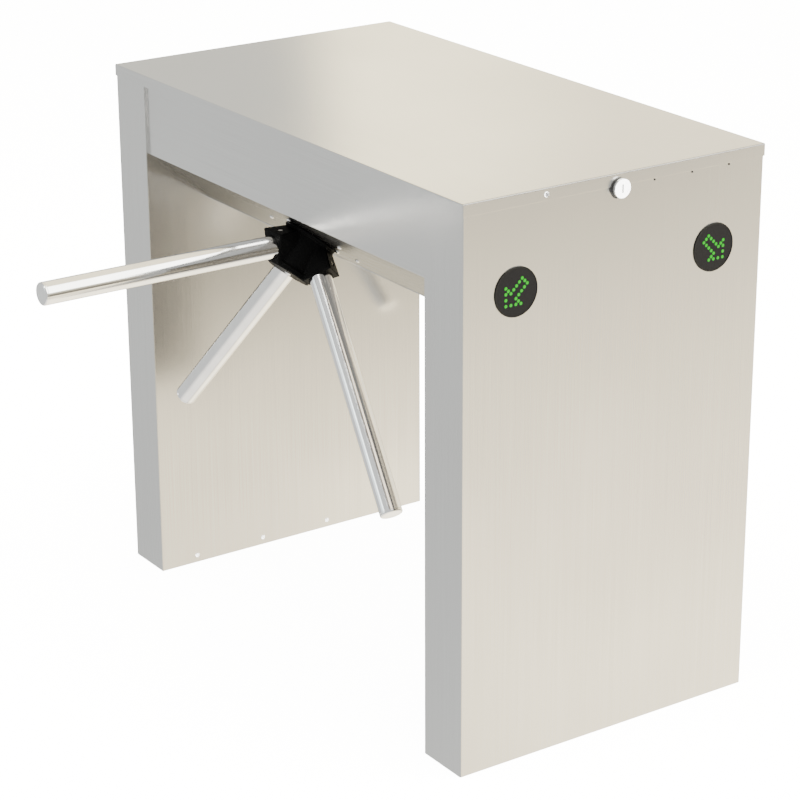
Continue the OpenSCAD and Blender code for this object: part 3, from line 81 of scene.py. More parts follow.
def node(tree, kind, inputs=None, **settings):
    """One shader node with its settings, constants and incoming links."""
    made = tree.nodes.new(kind)
    for key, value in settings.items():
        setattr(made, key, value)
    for key, value in (inputs or {}).items():
        if isinstance(value, bpy.types.NodeSocket):
            tree.links.new(value, made.inputs[key])
        else:
            made.inputs[key].default_value = value
    return made


def place(tree, scale):
    """Object coordinates, scaled."""
    coords = node(tree, "ShaderNodeTexCoord")
    return node(tree, "ShaderNodeMapping", {
        "Vector": coords.outputs["Object"], "Scale": scale,
    }).outputs["Vector"]


def noise(tree, vector, detail, rough):
    """Noise from 0 to 1 at a place."""
    return node(tree, "ShaderNodeTexNoise", {
        "Vector": vector, "Scale": 1.0, "Detail": detail, "Roughness": rough,
    }).outputs["Fac"]


NOISE_LOW, NOISE_HIGH = 0.3, 0.7  # the part of 0 to 1 that noise mostly fills


def spread(tree, value, low, high):
    """Noise stretched between two numbers."""
    return node(tree, "ShaderNodeMapRange", {
        "Value": value, "From Min": NOISE_LOW, "From Max": NOISE_HIGH, "To Min": low, "To Max": high,
    }).outputs["Result"]


def tone(tree, value, dark, light):
    """Noise turned into a colour between two colours."""
    ramp = node(tree, "ShaderNodeValToRGB", {"Fac": value})
    ramp.color_ramp.elements[0].position = NOISE_LOW
    ramp.color_ramp.elements[0].color = (*dark, 1)
    ramp.color_ramp.elements[1].position = NOISE_HIGH
    ramp.color_ramp.elements[1].color = (*light, 1)
    return ramp.outputs["Color"]


def bump(tree, shader, height, strength, distance):
    """Fine relief on a shader."""
    made = node(tree, "ShaderNodeBump", {"Height": height, "Strength": strength, "Distance": distance})
    tree.links.new(made.outputs["Normal"], shader.inputs["Normal"])


STEEL = ((0.58, 0.57, 0.56), (0.66, 0.655, 0.645))  # darkest and lightest tone of the casing's sheets
# Painted shade: the sloping head plate's darker tones stand in for the shade on its downward faces
SHADED_PLATE_STEEL = ((0.27, 0.26, 0.245), (0.34, 0.325, 0.305))
LEVEL, UPRIGHT, CROSSWISE = (3, 3, 900), (900, 900, 3), (3, 900, 900)  # grain per metre along x, y and z
CLOUDS = (2.3, 2.3, 2.3)
GRAIN_STRENGTH, GRAIN_DEPTH, SATIN_SPREAD = 0.06, 0.0004, 0.05


def satin_sheet(name, tones, rough, grain):
    """Ground stainless sheet: fine parallel lines along the grain, with broad faint clouds."""
    made, tree, shader = new_material(name)
    shader.inputs["Metallic"].default_value = 1.0
    fine = noise(tree, place(tree, grain), detail=2.0, rough=0.6)
    cloud = noise(tree, place(tree, CLOUDS), detail=2.0, rough=0.4)
    half = node(tree, "ShaderNodeMath", {0: fine, 1: 0.5}, operation="MULTIPLY").outputs[0]
    both = node(tree, "ShaderNodeMath", {0: cloud, 1: 0.5, 2: half}, operation="MULTIPLY_ADD").outputs[0]
    tree.links.new(tone(tree, both, *tones), shader.inputs["Base Color"])
    rough_grain = spread(tree, both, rough + SATIN_SPREAD, rough - SATIN_SPREAD)
    tree.links.new(rough_grain, shader.inputs["Roughness"])
    bump(tree, shader, fine, GRAIN_STRENGTH, GRAIN_DEPTH)
    return made


PLAIN_DEPTH, PLAIN_SPREAD = 0.0003, 0.06


def plain_finish(name, dark, light, rough, metallic, size, relief=0.1, shine=0.5):
    """An even finish with fine grain, size per metre, in colour, gloss and relief."""
    made, tree, shader = new_material(name)
    shader.inputs["Metallic"].default_value = metallic
    shader.inputs["Specular IOR Level"].default_value = shine
    grain = noise(tree, place(tree, (size, size, size)), detail=4.0, rough=0.6)
    tree.links.new(tone(tree, grain, dark, light), shader.inputs["Base Color"])
    rough_grain = spread(tree, grain, rough + PLAIN_SPREAD, rough - PLAIN_SPREAD)
    tree.links.new(rough_grain, shader.inputs["Roughness"])
    bump(tree, shader, grain, relief, PLAIN_DEPTH)
    return made


def grey(value):
    """A neutral colour."""
    return (value, value, value)


# A sheet's name, its tones, roughness and grain
sheet_front = satin_sheet("satin steel, level grain", STEEL, 0.24, LEVEL)
sheet_upright = satin_sheet("satin steel, upright grain", STEEL, 0.24, UPRIGHT)
sheet_inner = satin_sheet("satin steel, inner sheets", STEEL, 0.17, UPRIGHT)
sheet_lid = satin_sheet("satin steel, lid", STEEL, 0.11, CROSSWISE)
# Painted shade: the downward faces of the sloping plate get darker tones and a cool tint on their reflections
shaded_head_plate = satin_sheet("satin steel, sloping plate, painted shade", SHADED_PLATE_STEEL, 0.26, CROSSWISE)
shaded_head_plate.node_tree.nodes["Principled BSDF"].inputs["Specular Tint"].default_value = (0.84, 0.87, 0.9, 1)

# An even finish's name, its darkest and lightest tone, roughness, how metallic it is and its grain's size
# Painted shade: the lid's end bends are rougher and also darker, which stands in for shade and keeps a bright
# reflection off them
lid_bend_shade = plain_finish("rougher lid bend, painted shade", (0.27, 0.262, 0.25), (0.33, 0.322, 0.308), 0.5, 1.0, 4,
                          relief=0.02)
post_paint = plain_finish("grey paint on the frame", (0.16, 0.165, 0.17), (0.2, 0.205, 0.21), 0.5, 0.0, 400)
bright_screw = plain_finish("bright screw steel", (0.62, 0.61, 0.6), (0.72, 0.71, 0.7), 0.22, 1.0, 600)
pale_screw = plain_finish("bright head of the rim screw", (0.86, 0.86, 0.85), (0.94, 0.94, 0.93),
                          0.45, 0.3, 600)
# The rivet heads are given a near-black colour
dark_rivet = plain_finish("near-black rivet heads", grey(0.006), grey(0.01), 0.5, 0.0, 600, shine=0.12)
zinc = plain_finish("zinc plate", (0.5, 0.51, 0.52), (0.66, 0.66, 0.64), 0.35, 1.0, 90)
lock_metal = plain_finish("satin chrome of the lock", (0.7, 0.7, 0.69), (0.8, 0.8, 0.79), 0.2, 1.0, 500)
# Painted highlight: the lock's front is near-white and barely metallic, which stands in for the bright
# reflection on its face
lock_face = plain_finish("lock face, painted highlight", (0.88, 0.88, 0.87), (0.94, 0.94, 0.93), 0.5, 0.1, 500)
lock_grey = plain_finish("dull lock barrel", grey(0.12), grey(0.18), 0.45, 1.0, 500)
# Painted shade: near-black stands in for the shade on the lock's seat behind the sheet and in its groove
shaded_seat_black = plain_finish("painted shade on the lock's seat and groove", grey(0.01), grey(0.02), 0.5, 0.0, 500)
# Painted shade: near-black stands in for the shade inside the lock's key slot and the rim screw's socket
shade_black_recess = plain_finish("painted shade in the key slot and socket", grey(0.0004), grey(0.0008), 0.6, 0.0, 700, shine=0.02)
polished = plain_finish("polished steel of the arms", (0.74, 0.735, 0.73), (0.82, 0.815, 0.81), 0.12, 1.0, 30)
black_cast = plain_finish("satin black enamel", grey(0.0004), grey(0.0009), 0.5, 0.0, 900, shine=0.022)
dark_plastic = plain_finish("dark indicator plastic", (0.0012, 0.0012, 0.0015), (0.0018, 0.0018, 0.0022),
                            0.5, 0.0, 700, shine=0.115)
rim_black = plain_finish("black indicator rim", grey(0.001), grey(0.002), 0.35, 0.0, 700, shine=0.15)
board_green = plain_finish("circuit board", (0.002, 0.022, 0.009), (0.003, 0.034, 0.014), 0.4, 0.0, 300)
ground_steel = plain_finish("ground bearing steel", (0.55, 0.55, 0.56), (0.68, 0.68, 0.68), 0.2, 1.0, 300)
cast_grey = plain_finish("cast aluminium", grey(0.5), grey(0.66), 0.45, 1.0, 700)
motor_paint = plain_finish("motor paint", (0.008, 0.012, 0.018), (0.012, 0.017, 0.025), 0.4, 0.0, 500)
brass = plain_finish("turned brass", (0.6, 0.42, 0.16), (0.75, 0.55, 0.25), 0.28, 1.0, 300)

glow, _, glow_shader = new_material("green light")
glow_shader.inputs["Base Color"].default_value = (0.0, 0.03, 0.0, 1)
glow_shader.inputs["Emission Color"].default_value = (0.0, 1.0, 0.0, 1)
glow_shader.inputs["Emission Strength"].default_value = 0.62
glow_shader.inputs["Roughness"].default_value = 0.5
glow_shader.inputs["Specular IOR Level"].default_value = 0.1

by_slot = {
    "casing_steel": sheet_front, "frame_paint": post_paint, "fastener_steel": bright_screw,
    "zinc_steel": zinc, "lock_metal": lock_metal, "lock_face": lock_metal, "board": board_green,
    "indicator_plastic": dark_plastic, "green_light": glow, "bearing_steel": ground_steel,
    "cast_aluminium": cast_grey, "motor_paint": motor_paint, "polished_steel": polished,
    "black_paint": black_cast, "gear_brass": brass,
}
for slot, finish in by_slot.items():
    for name in SLOTS[slot]:
        for row in range(len(nodes[name].data.materials)):
            nodes[name].data.materials[row] = finish
for name in ("near_leg_shell", "far_leg_shell", "near_leg_panel", "far_leg_panel"):
    nodes[name].data.materials[0] = sheet_upright
nodes["lid"].data.materials[0] = sheet_lid


# Surfaces

CREASE = 35  # degrees between two faces from which an edge stays sharp


def finished(name, mesh, finish, body, replaced, crease=CREASE):
    """A new piece from a mesh, with its shading, material and body, and the CAD nodes it replaces."""
    mesh.materials.clear()
    mesh.materials.append(finish)
    mesh.shade_smooth()
    mesh.set_sharp_from_angle(angle=math.radians(crease))
    made = bpy.data.objects.new(name, mesh)
    bpy.context.scene.collection.objects.link(made)
    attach(made, body)
    if replaced:
        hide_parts(*replaced)
    return made


def piece(name, surface, finish, body, replaced=()):
    """A new piece from a (points, faces) surface."""
    points, faces = surface
    mesh = bpy.data.meshes.new(name)
    mesh.from_pydata([tuple(p) for p in np.asarray(points).tolist()], [], faces)
    return finished(name, mesh, finish, body, replaced)


def across(axis):
    """The unit axis, and two unit directions square to it and to each other."""
    axis = np.asarray(axis, float) / np.linalg.norm(axis)
    side = np.cross(axis, (0, 0, 1) if abs(axis[2]) < 0.9 else (1, 0, 0))
    side /= np.linalg.norm(side)
    return axis, side, np.cross(axis, side)


def turned(profile, start, axis, steps, ring=False):
    """A profile of (distance along, radius) pairs turned round an axis: point = start + axis * along
    + radius * (side * cos a + other * sin a). A radius of 0 is a pole; a ring profile closes on itself."""
    axis, side, other = across(axis)
    profile = np.asarray(profile, float)
    angle = np.arange(steps) * (2 * np.pi / steps)
    spokes = np.cos(angle)[:, None] * side + np.sin(angle)[:, None] * other
    points, rows, count = [], [], 0
    for along, radius in profile:
        middle = np.asarray(start, float) + axis * along
        around = 1 if radius == 0 else steps
        rows.append(np.arange(around) + count)
        points.append(middle[None, :] + radius * spokes[:around])
        count += around
    faces = []
    pairs = list(zip(rows, rows[1:])) + ([(rows[-1], rows[0])] if ring else [])
    for low, high in pairs:
        if len(low) == 1:
            faces += np.stack([np.full(steps, low[0]), np.roll(high, -1), high], 1).tolist()
        elif len(high) == 1:
            faces += np.stack([low, np.roll(low, -1), np.full(steps, high[0])], 1).tolist()
        else:
            faces += np.stack([low, np.roll(low, -1), np.roll(high, -1), high], 1).tolist()
    return np.concatenate(points), faces


def joined(parts):
    """Several (points, faces) surfaces as one."""
    points, faces, count = [], [], 0
    for some, own in parts:
        points.append(some)
        faces += [[v + count for v in face] for face in own]
        count += len(some)
    return np.concatenate(points), faces


def rounding(along, radius, size, first, last, steps):
    """Points (along, radius) of an arc of the given size round a middle, between two angles in degrees."""
    angle = np.radians(np.linspace(first, last, steps))
    return [(along + size * math.sin(a), radius + size * math.cos(a)) for a in angle]


BROAD = 12  # a face this many times larger than its neighbour keeps its own flat shading


def keep_flats(mesh):
    """Sharp edges between a broad face and a much smaller one, so that bends don't shade such flats."""
    work = bmesh.new()
    work.from_mesh(mesh)
    for edge in work.edges:
        pair = sorted(edge.link_faces, key=lambda face: face.calc_area())
        if len(pair) == 2 and pair[1].calc_area() > BROAD * pair[0].calc_area():
            edge.smooth = False
    work.to_mesh(mesh)
    work.free()


MERGE_WITHIN, FLAT_WITHIN, EASE_FROM = 0.000002, 0.3, 40  # metres; degrees; degrees


def eased(source, name, finish, slot, body, width):
    """A copy of a CAD node with its triangles merged, flat faces made whole and its sharp edges rounded.

    The bridge's sheets keep the shading that runs on from their bends, which gives the soft diagonal
    highlight on the photograph's fascia; all other sheets shade flat up to their rounded edges."""
    work = bmesh.new()
    work.from_mesh(nodes[source].data)
    bmesh.ops.remove_doubles(work, verts=work.verts, dist=MERGE_WITHIN)
    bmesh.ops.dissolve_limit(work, angle_limit=math.radians(FLAT_WITHIN), verts=work.verts, edges=work.edges)
    mesh = bpy.data.meshes.new(name)
    work.to_mesh(mesh)
    work.free()
    made = finished(name, mesh, finish, body, (source,))
    round_over = made.modifiers.new("eased edges", "BEVEL")
    round_over.width = width
    round_over.segments = 2
    round_over.limit_method = "ANGLE"
    round_over.angle_limit = math.radians(EASE_FROM)
    round_over.use_clamp_overlap = False
    round_over.harden_normals = finish is not sheet_front
    if finish is not sheet_front:
        keep_flats(mesh)
    return made


# Arms: distances along an arm from the point where the rotor's three arms meet

ARM_R, ARM_BORE, ARM_ROOT, ARM_END = 0.020, 0.018, 0.038, 0.516
ARM_STEPS, ARM_RINGS, RINGS_INSET = 96, 12, 0.03
EASING = 0.0004  # of the tube's ends
ARM_TIP, TIP_EDGE = 0.521, 0.003
# The cap's plug inside the tube: where it ends, its radius, the radius and the length of its bevelled end
CAP_BACK, CAP_R, CAP_BACK_R, CAP_EDGE = ARM_END - 0.016, ARM_BORE - 0.0001, ARM_BORE - 0.0006, 0.0005
TILT = math.radians(50)  # of the shaft from straight down, and of each arm from the shaft
APEX_Y, APEX_Z = 0.238936, 0.787889


def arm_axis(side, number):
    """The point where a rotor's arms meet, and one arm's direction on a cone round the shaft."""
    turn = math.radians(120 * number)
    local = np.array((-math.sin(turn) * math.sin(TILT), math.cos(turn) * math.sin(TILT), math.cos(TILT)))
    c, n = math.cos(math.pi / 2 + TILT), math.sin(math.pi / 2 + TILT)
    tilted = np.array((local[0], c * local[1] - n * local[2], n * local[1] + c * local[2]))
    flip = np.array((1, 1, 1)) if side == "front_" else np.array((-1, -1, 1))
    return np.array((0, -APEX_Y, APEX_Z)) * flip, tilted * flip


for side in BOTH:
    caps = []
    for number in range(3):
        apex, axis = arm_axis(side, number)
        tube = [(ARM_ROOT, ARM_BORE), (ARM_ROOT, ARM_R - EASING), (ARM_ROOT + EASING, ARM_R)]
        tube += [(s, ARM_R) for s in np.linspace(ARM_ROOT + RINGS_INSET, ARM_END - RINGS_INSET, ARM_RINGS)]
        tube += [(ARM_END - EASING, ARM_R), (ARM_END, ARM_R - EASING), (ARM_END, ARM_BORE)]
        piece(f"{side}arm_tube_{number + 1}", turned(tube, apex, axis, ARM_STEPS, ring=True), polished,
              side + "rotor", (f"{side}arm_{number + 1}",))
        cap = [(CAP_BACK, 0), (CAP_BACK, CAP_BACK_R), (CAP_BACK + CAP_EDGE, CAP_R), (ARM_END, CAP_R),
               (ARM_END, ARM_R - EASING), (ARM_END + EASING, ARM_R)]
        cap += rounding(ARM_TIP - TIP_EDGE, ARM_R - TIP_EDGE, TIP_EDGE, 0, 90, steps=9)
        cap += [(ARM_TIP, 0)]
        caps.append(turned(cap, apex, axis, ARM_STEPS))
    piece(f"{side}arm_tips", joined(caps), polished, side + "rotor", (f"{side}arm_caps",))


# Hubs

CAST_CELL, CAST_ROUNDS, CAST_CREASE = 0.0014, 4, 60  # metres; rounds of evening out; degrees


def cast(source, name, finish, body):
    """A copy of a CAD node rebuilt as one skin of small cells and evened out, so its edges are as round as
    those of a casting."""
    raw = bpy.data.objects.new(name + "_raw", nodes[source].data.copy())
    bpy.context.scene.collection.objects.link(raw)
    skin = raw.modifiers.new("skin", "REMESH")
    skin.mode, skin.voxel_size, skin.adaptivity = "VOXEL", CAST_CELL, 0.0
    even = raw.modifiers.new("even", "SMOOTH")
    even.factor, even.iterations = 0.5, CAST_ROUNDS
    graph = bpy.context.evaluated_depsgraph_get()
    mesh = bpy.data.meshes.new_from_object(raw.evaluated_get(graph))
    bpy.data.objects.remove(raw)
    return finished(name, mesh, finish, body, (source,), CAST_CREASE)


for side in BOTH:
    cast(side + "hub", side + "cast_hub", black_cast, side + "rotor")


# Sheets, lock, screws and hinges: where one piece has several finishes, they go by the places of its faces

LOCK_Z = 0.9755
PLUG_FRONT_X, SLOT_FLOOR_X, SLOT_REACH = 0.5664, 0.563, 0.008
SEAT_END_X, GROOVE_X = 0.5555, (0.5583, 0.562)
RIVET_X, RIVET_Z, RIVET_NEAR = 0.5559, 0.976, 0.003
FOOT_SCREWS_BELOW = 0.03
LID_SCREW_Y, LID_SCREW_Z, SOCKET_R, SOCKET_DEPTH = -0.147, 0.989, 0.0036, 0.0002
lid_screw_top = max(vertex.co.x for vertex in nodes["lid_screw"].data.vertices)


def fascia_part(face):
    """The finish of one face of the bridge's sheet: 1 the sloping head plate, darker with painted shade, 0
    all else.
    """
    return int(face.normal.z < -0.5)


def lid_part(face):
    """The finish of one face of the lid: 0 the top, 1 an end of the rim, 2 a side or the inside,
    3 a bend at an end, rougher and darker with painted shade."""
    if face.normal.z > 0.2 and abs(face.normal.x) > 0.1:
        return 3
    if abs(face.normal.x) > 0.7:
        return 1
    return 0 if face.normal.z > 0.7 else 2


def barrel_part(face):
    """The finish of one face of the lock's body: 1 its seat or its groove, near-black as painted shade, 2 the
    rest of the barrel.
    """
    return 1 if face.center.x < SEAT_END_X or GROOVE_X[0] < face.center.x < GROOVE_X[1] else 2


def plug_part(face):
    """The finish of one face of the lock's plug: 0 its front, near-white as a painted highlight, 1 the inside
    of the key slot, black as painted shade, 2 all else.
    """
    if face.center.x > PLUG_FRONT_X:
        return 0
    near_axis = math.hypot(face.center.y, face.center.z - LOCK_Z) < SLOT_REACH
    return 1 if face.center.x > SLOT_FLOOR_X and near_axis else 2


def screw_part(face):
    """The finish of one face of the case's screws: 1 a rivet's head, 2 a foot screw, 0 all else."""
    if face.center.x > RIVET_X and abs(face.center.z - RIVET_Z) < RIVET_NEAR:
        return 1
    return 2 if face.center.z < FOOT_SCREWS_BELOW else 0


def lid_screw_part(face):
    """The finish of one face of the lid's screw: 1 the inside of the socket in its head, black as painted
    shade, 0 all else.
    """
    near_axis = math.hypot(face.center.y - LID_SCREW_Y, face.center.z - LID_SCREW_Z) < SOCKET_R
    return int(face.center.x < lid_screw_top - SOCKET_DEPTH and near_axis)


EASED = [
    # CAD node, new piece, finish, slot, body, how far its edges are rounded
    ("near_leg_shell", "near_leg_cover", sheet_upright, "casing_steel", "cabinet", 0.0003),
    ("far_leg_shell", "far_leg_cover", sheet_upright, "casing_steel", "cabinet", 0.0003),
    ("near_leg_panel", "near_inner_sheet", sheet_inner, "casing_steel", "cabinet", 0.0003),
    ("far_leg_panel", "far_inner_sheet", sheet_inner, "casing_steel", "cabinet", 0.0003),
    ("front_fascia", "front_bridge_sheet", sheet_front, "casing_steel", "cabinet", 0.0003),
    ("rear_fascia", "rear_bridge_sheet", sheet_front, "casing_steel", "cabinet", 0.0003),
    ("lid", "lid_sheet", sheet_lid, "casing_steel", "lid", 0.0003),
    ("lock_body", "lock_barrel", lock_metal, "lock_metal", "cabinet", 0.0004),
    ("lock_plug", "lock_face", lock_face, "lock_face", "lock", 0.00015),
    ("lid_screw", "rim_screw", pale_screw, "fastener_steel", "lid", 0.00015),
    ("case_screws", "screws_and_rivets", bright_screw, "fastener_steel", "cabinet", 0.0002),
    ("lid_hinge_leaves", "hinge_leaves", zinc, "zinc_steel", "cabinet", 0.0003),
    ("lid_hinge_straps", "hinge_straps", zinc, "zinc_steel", "lid", 0.0003),
]
SEVERAL_FINISHES = {
    # CAD node: finishes 1, 2 and 3, and which face has which
    "front_fascia": ((shaded_head_plate,), fascia_part),
    "rear_fascia": ((shaded_head_plate,), fascia_part),
    "lid": ((sheet_upright, sheet_front, lid_bend_shade), lid_part),
    "lock_body": ((shaded_seat_black, lock_grey), barrel_part),
    "lock_plug": ((shade_black_recess, lock_metal), plug_part),
    "lid_screw": ((shade_black_recess,), lid_screw_part),
    "case_screws": ((dark_rivet, pale_screw), screw_part),
}
for source, *rest in EASED:
    made = eased(source, *rest)
    others, part_of = SEVERAL_FINISHES.get(source, ((), None))
    for other in others:
        made.data.materials.append(other)
    if others:
        faces = made.data.polygons
        faces.foreach_set("material_index", [part_of(face) for face in faces])


# Indicators: on each end of the cabinet, a pair of dark discs with a rim and an arrow of lights

INDICATOR_Y, INDICATOR_Z, INDICATOR_R, INDICATOR_PROUD = 0.204, 0.838, 0.04225, 0.002
HALF_L = 0.556  # from the middle of the cabinet to an end's sheet
RIM_W, RIM_OUTER_EDGE, RIM_INNER_EDGE, RIM_STEPS = 0.0022, 0.0008, 0.0005, 96
FACE = INDICATOR_PROUD - 0.0005  # how far a disc's face stands out
DISC_R, DISC_BACK, DISC_BACK_EDGE, DISC_EDGE, DISC_RING = 0.0408, -0.01, 0.0004, 0.0002, 0.02
# Lights: radius, spacing across and along the tail, spacing along the point, and from the middle to the barbs
LED_R, LED_ACROSS, LED_ALONG, LED_POINT, LED_BARB = 0.0029, 0.00705, 0.0078, 0.0069, 0.0081
LED_SUNK, LED_DOME, LED_STEPS = 0.004, 0.0009, 20


def arrow_lights():
    """The 20 lights of an arrow, (along, across): a double tail, a barb on each side and a point."""
    spots = [(-LED_BARB + n * LED_ALONG, s * LED_ACROSS) for n in range(4) for s in (-1, 1)]
    spots += [(-LED_BARB + 4 * LED_ALONG, s * LED_ACROSS) for s in (-1, 0, 1)]
    spots += [(-LED_BARB, s * n * LED_ACROSS) for n in (2, 3) for s in (-1, 1)]
    spots += [(-LED_BARB - n * LED_POINT, s * (3 - n) * LED_ACROSS) for n in (1, 2) for s in (-1, 1)]
    return spots + [(-LED_BARB - 3 * LED_POINT, 0)]


rim = [(0, INDICATOR_R - RIM_W), (0, INDICATOR_R)]
rim += rounding(INDICATOR_PROUD - RIM_OUTER_EDGE, INDICATOR_R - RIM_OUTER_EDGE, RIM_OUTER_EDGE,
                0, 90, steps=5)
rim += rounding(INDICATOR_PROUD - RIM_INNER_EDGE, INDICATOR_R - RIM_W + RIM_INNER_EDGE, RIM_INNER_EDGE,
                90, 180, steps=4)
disc = [(DISC_BACK, 0), (DISC_BACK, DISC_R - DISC_BACK_EDGE), (DISC_BACK + DISC_BACK_EDGE, DISC_R),
        (0, DISC_R), (FACE - DISC_EDGE, DISC_R), (FACE, DISC_R - DISC_EDGE), (FACE, DISC_RING), (FACE, 0)]
dome = [(FACE - LED_SUNK, 0), (FACE - LED_SUNK, LED_R), (FACE, LED_R)]
dome += [(FACE + LED_DOME * math.sin(a), LED_R * math.cos(a)) for a in np.radians((20, 42, 66))]
dome += [(FACE + LED_DOME, 0)]

lights = []
for end, which in ((1, "near"), (-1, "far")):
    outward = np.array((end, 0, 0))
    rims, discs = [], []
    for s in (-1, 1):
        foot = np.array((end * HALF_L, end * s * INDICATOR_Y, INDICATOR_Z))
        rims.append(turned(rim, foot, outward, RIM_STEPS, ring=True))
        discs.append(turned(disc, foot, outward, RIM_STEPS))
        for along, over in arrow_lights():
            spot = foot + np.array((0, -end * s * (along + over), along - over)) / math.sqrt(2)
            lights.append(turned(dome, spot, outward, LED_STEPS))
    piece(which + "_indicator_rims", joined(rims), rim_black, "cabinet")
    piece(which + "_indicator_faces", joined(discs), dark_plastic, "cabinet",
          (which + "_indicators",))
piece("arrow_lights", joined(lights), glow, "cabinet", ("indicator_leds",))


# Floor and backdrop, which no mirror image shows

FLOOR_HALF, WALL_R, WALL_H, WALL_STEPS = 30, 29, 40, 96


def stage_sheet(name, points, faces, finish, unseen_by):
    """A sheet of the studio round the object, which the named kinds of rays pass by."""
    mesh = bpy.data.meshes.new(name)
    mesh.from_pydata(points, [], faces)
    made = bpy.data.objects.new(name, mesh)
    bpy.context.scene.collection.objects.link(made)
    made.data.materials.append(finish)
    for kind in unseen_by:
        setattr(made, "visible_" + kind, False)


floor_finish, _, floor_shader = new_material("pale studio floor")
floor_shader.inputs["Base Color"].default_value = (0.86, 0.86, 0.85, 1)
floor_shader.inputs["Roughness"].default_value = 0.8
floor_shader.inputs["Emission Color"].default_value = (1, 1, 0.99, 1)
floor_shader.inputs["Emission Strength"].default_value = 12.0
corners = [(x * FLOOR_HALF, y * FLOOR_HALF, 0) for x, y in ((-1, -1), (1, -1), (1, 1), (-1, 1))]
stage_sheet("floor", corners, [(0, 1, 2, 3)], floor_finish, ("glossy",))

# A round wall that faces inwards, seen by the camera alone
bearings = np.arange(WALL_STEPS) * (2 * np.pi / WALL_STEPS)
wall_points = [(WALL_R * math.cos(a), WALL_R * math.sin(a), z) for z in (0, WALL_H) for a in bearings]
wall_faces = [(n + WALL_STEPS, (n + 1) % WALL_STEPS + WALL_STEPS, (n + 1) % WALL_STEPS, n)
              for n in range(WALL_STEPS)]
stage_sheet("backdrop", wall_points, wall_faces, floor_finish,
            ("glossy", "diffuse", "transmission", "volume_scatter", "shadow"))


# Light: a room of soft walls, each a part of all directions with a soft edge, laid over the last

ROOM_FRONT, ROOM_BACK = (1.07, 1.095, 1.08), (1.25, 1.14, 0.89)
LOW_NEAR, LOW_FAR = (4.6, 4.05, 2.9), (0.42, 0.39, 0.33)
UNDER_BACK, UNDER_FRONT = (4.2, 3.8, 2.9), (2.5, 2.4, 2.2)
# A round patch is its middle's bearing from +X towards +Y and its height above level, the angles from the
# middle where it ends and where it is whole, all in degrees, and its colour. Those behind show mostly in the
# near end, the inner sheets and the lid, those in front mostly in the fascia and the arms.
PATCHES_BEHIND = [
    (24, -35, 16, 7, (2.4, 2.15, 1.6)),
    (60, -21, 18, 9, (4.1, 3.6, 2.6)),
    (27, -11, 11.5, 6.5, (0.4, 0.365, 0.285)),
    (42, -9, 10.2, 5.2, (0.62, 0.6, 0.53)),
    (95, 32, 54.2, 49.5, (2.75, 2.45, 1.75)),
    (147.2, 14.7, 6.2, 1, (3.8, 3.4, 2.35)),
    (165, 15, 17.9, 16.1, (1.24, 1.21, 1.07)),
    (40, 37, 32, 26, (8.5, 8.5, 8)),
]
PATCHES_IN_FRONT = [
    (-81, 61, 13.5, 9, (19, 19, 18)),
    (-20, 62, 16, 10, (3.3, 2.9, 2.3)),
    (-53, 56, 11, 7, (0.42, 0.38, 0.33)),
    (-122, 4, 15, 8, (2.0, 2.2, 2.25)),
    (-111, 14, 8, 4, (4.4, 4.8, 4.8)),
]


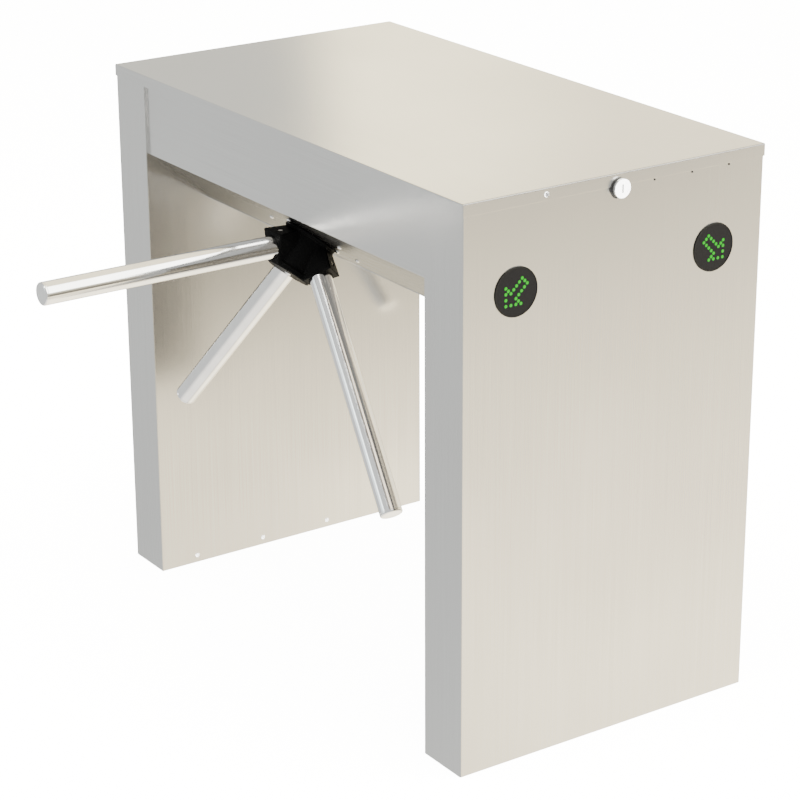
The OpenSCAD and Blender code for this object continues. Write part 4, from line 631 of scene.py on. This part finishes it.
def studio_world():
    """The room of light, as the world's background."""
    world = bpy.data.worlds.new("studio")
    bpy.context.scene.world = world
    world.use_nodes = True
    tree = world.node_tree
    look = node(tree, "ShaderNodeTexCoord").outputs["Generated"]
    split = node(tree, "ShaderNodeSeparateXYZ", {"Vector": look}).outputs

    def between(value, first, last):
        """0 up to the first number and 1 from the last, with a soft step."""
        return node(tree, "ShaderNodeMapRange", {"Value": value, "From Min": first, "From Max": last},
                    interpolation_type="SMOOTHSTEP").outputs["Result"]

    def towards(bearing, height, outer, inner):
        """1 inside a round patch and 0 outside it."""
        b, h = math.radians(bearing), math.radians(height)
        way = (math.cos(b) * math.cos(h), math.sin(b) * math.cos(h), math.sin(h))
        dot = node(tree, "ShaderNodeVectorMath", {0: look, 1: way}, operation="DOT_PRODUCT").outputs["Value"]
        return between(dot, math.cos(math.radians(outer)), math.cos(math.radians(inner)))

    def laid(under, amount, colour):
        """A colour laid over what is there, which is a colour or a socket."""
        mix = node(tree, "ShaderNodeMix", {"Factor": amount}, data_type="RGBA")
        if isinstance(under, bpy.types.NodeSocket):
            tree.links.new(under, mix.inputs["A"])
        else:
            mix.inputs["A"].default_value = (*under, 1)
        mix.inputs["B"].default_value = (*colour, 1)
        return mix.outputs["Result"]

    def both(a, b):
        return node(tree, "ShaderNodeMath", {0: a, 1: b}, operation="MULTIPLY").outputs[0]

    back = between(split["Y"], -0.1, 0.3)
    front = between(split["Y"], 0.05, -0.1)
    near, far = between(split["X"], -0.2, 0.2), between(split["X"], -0.3, -0.6)
    low, below_level = between(split["Z"], -0.3, -0.38), between(split["Z"], 0.05, -0.1)
    under_back, under_front = between(split["Z"], -0.62, -0.78), between(split["Z"], -0.45, -0.8)

    light = laid(ROOM_FRONT, back, ROOM_BACK)
    light = laid(light, both(both(low, back), near), LOW_NEAR)
    light = laid(light, both(both(back, below_level), far), LOW_FAR)
    for *patch, colour in PATCHES_BEHIND:
        light = laid(light, towards(*patch), colour)
    light = laid(light, both(back, under_back), UNDER_BACK)
    light = laid(light, both(front, under_front), UNDER_FRONT)
    for *patch, colour in PATCHES_IN_FRONT:
        light = laid(light, towards(*patch), colour)
    background = tree.nodes["Background"]
    tree.links.new(light, background.inputs["Color"])
    background.inputs["Strength"].default_value = 1.0


studio_world()

LAMP_PLACE, LAMP_TARGET, LAMP_SIZE, LAMP_POWER = (0.4, -0.6, 4.5), (0, 0, 0), 5, 900
lamp_data = bpy.data.lights.new("overhead", "AREA")
lamp_data.shape = "RECTANGLE"
lamp_data.size, lamp_data.size_y = LAMP_SIZE, LAMP_SIZE
lamp_data.energy = LAMP_POWER
lamp = bpy.data.objects.new("overhead", lamp_data)
lamp.location = LAMP_PLACE
lamp.rotation_euler = (Vector(LAMP_TARGET) - Vector(LAMP_PLACE)).to_track_quat("-Z", "Y").to_euler()
lamp.visible_glossy = False
bpy.context.scene.collection.objects.link(lamp)


# Camera: the photograph's viewpoint, as solved from the cabinet's edges

CAMERA_PLACE = (3.72439085, -2.57864689, 2.16912872)
CAMERA_BEARING, CAMERA_HEIGHT, CAMERA_ROLL = 55.8113, 20.9391, -0.2643  # degrees
CAMERA_LENS, CAMERA_SENSOR = 118.645, 36  # millimetres


def set_camera():
    """The photograph's viewpoint from its measured place, bearing, height angle, roll and lens."""
    bearing, height, roll = (math.radians(a) for a in (CAMERA_BEARING, CAMERA_HEIGHT, CAMERA_ROLL))
    back = Vector((math.sin(bearing) * math.cos(height), -math.cos(bearing) * math.cos(height),
                   math.sin(height)))
    level = (-back).cross(Vector((0, 0, 1))).normalized()
    above = level.cross(-back)
    right = math.cos(roll) * level + math.sin(roll) * above
    up = right.cross(-back)
    data = bpy.data.cameras.new("photo view")
    data.lens, data.sensor_width, data.sensor_fit = CAMERA_LENS, CAMERA_SENSOR, "HORIZONTAL"
    camera = bpy.data.objects.new("photo view", data)
    turn = Matrix((right, up, back)).transposed().to_4x4()
    camera.matrix_world = Matrix.Translation(CAMERA_PLACE) @ turn
    bpy.context.scene.collection.objects.link(camera)
    bpy.context.scene.camera = camera


set_camera()
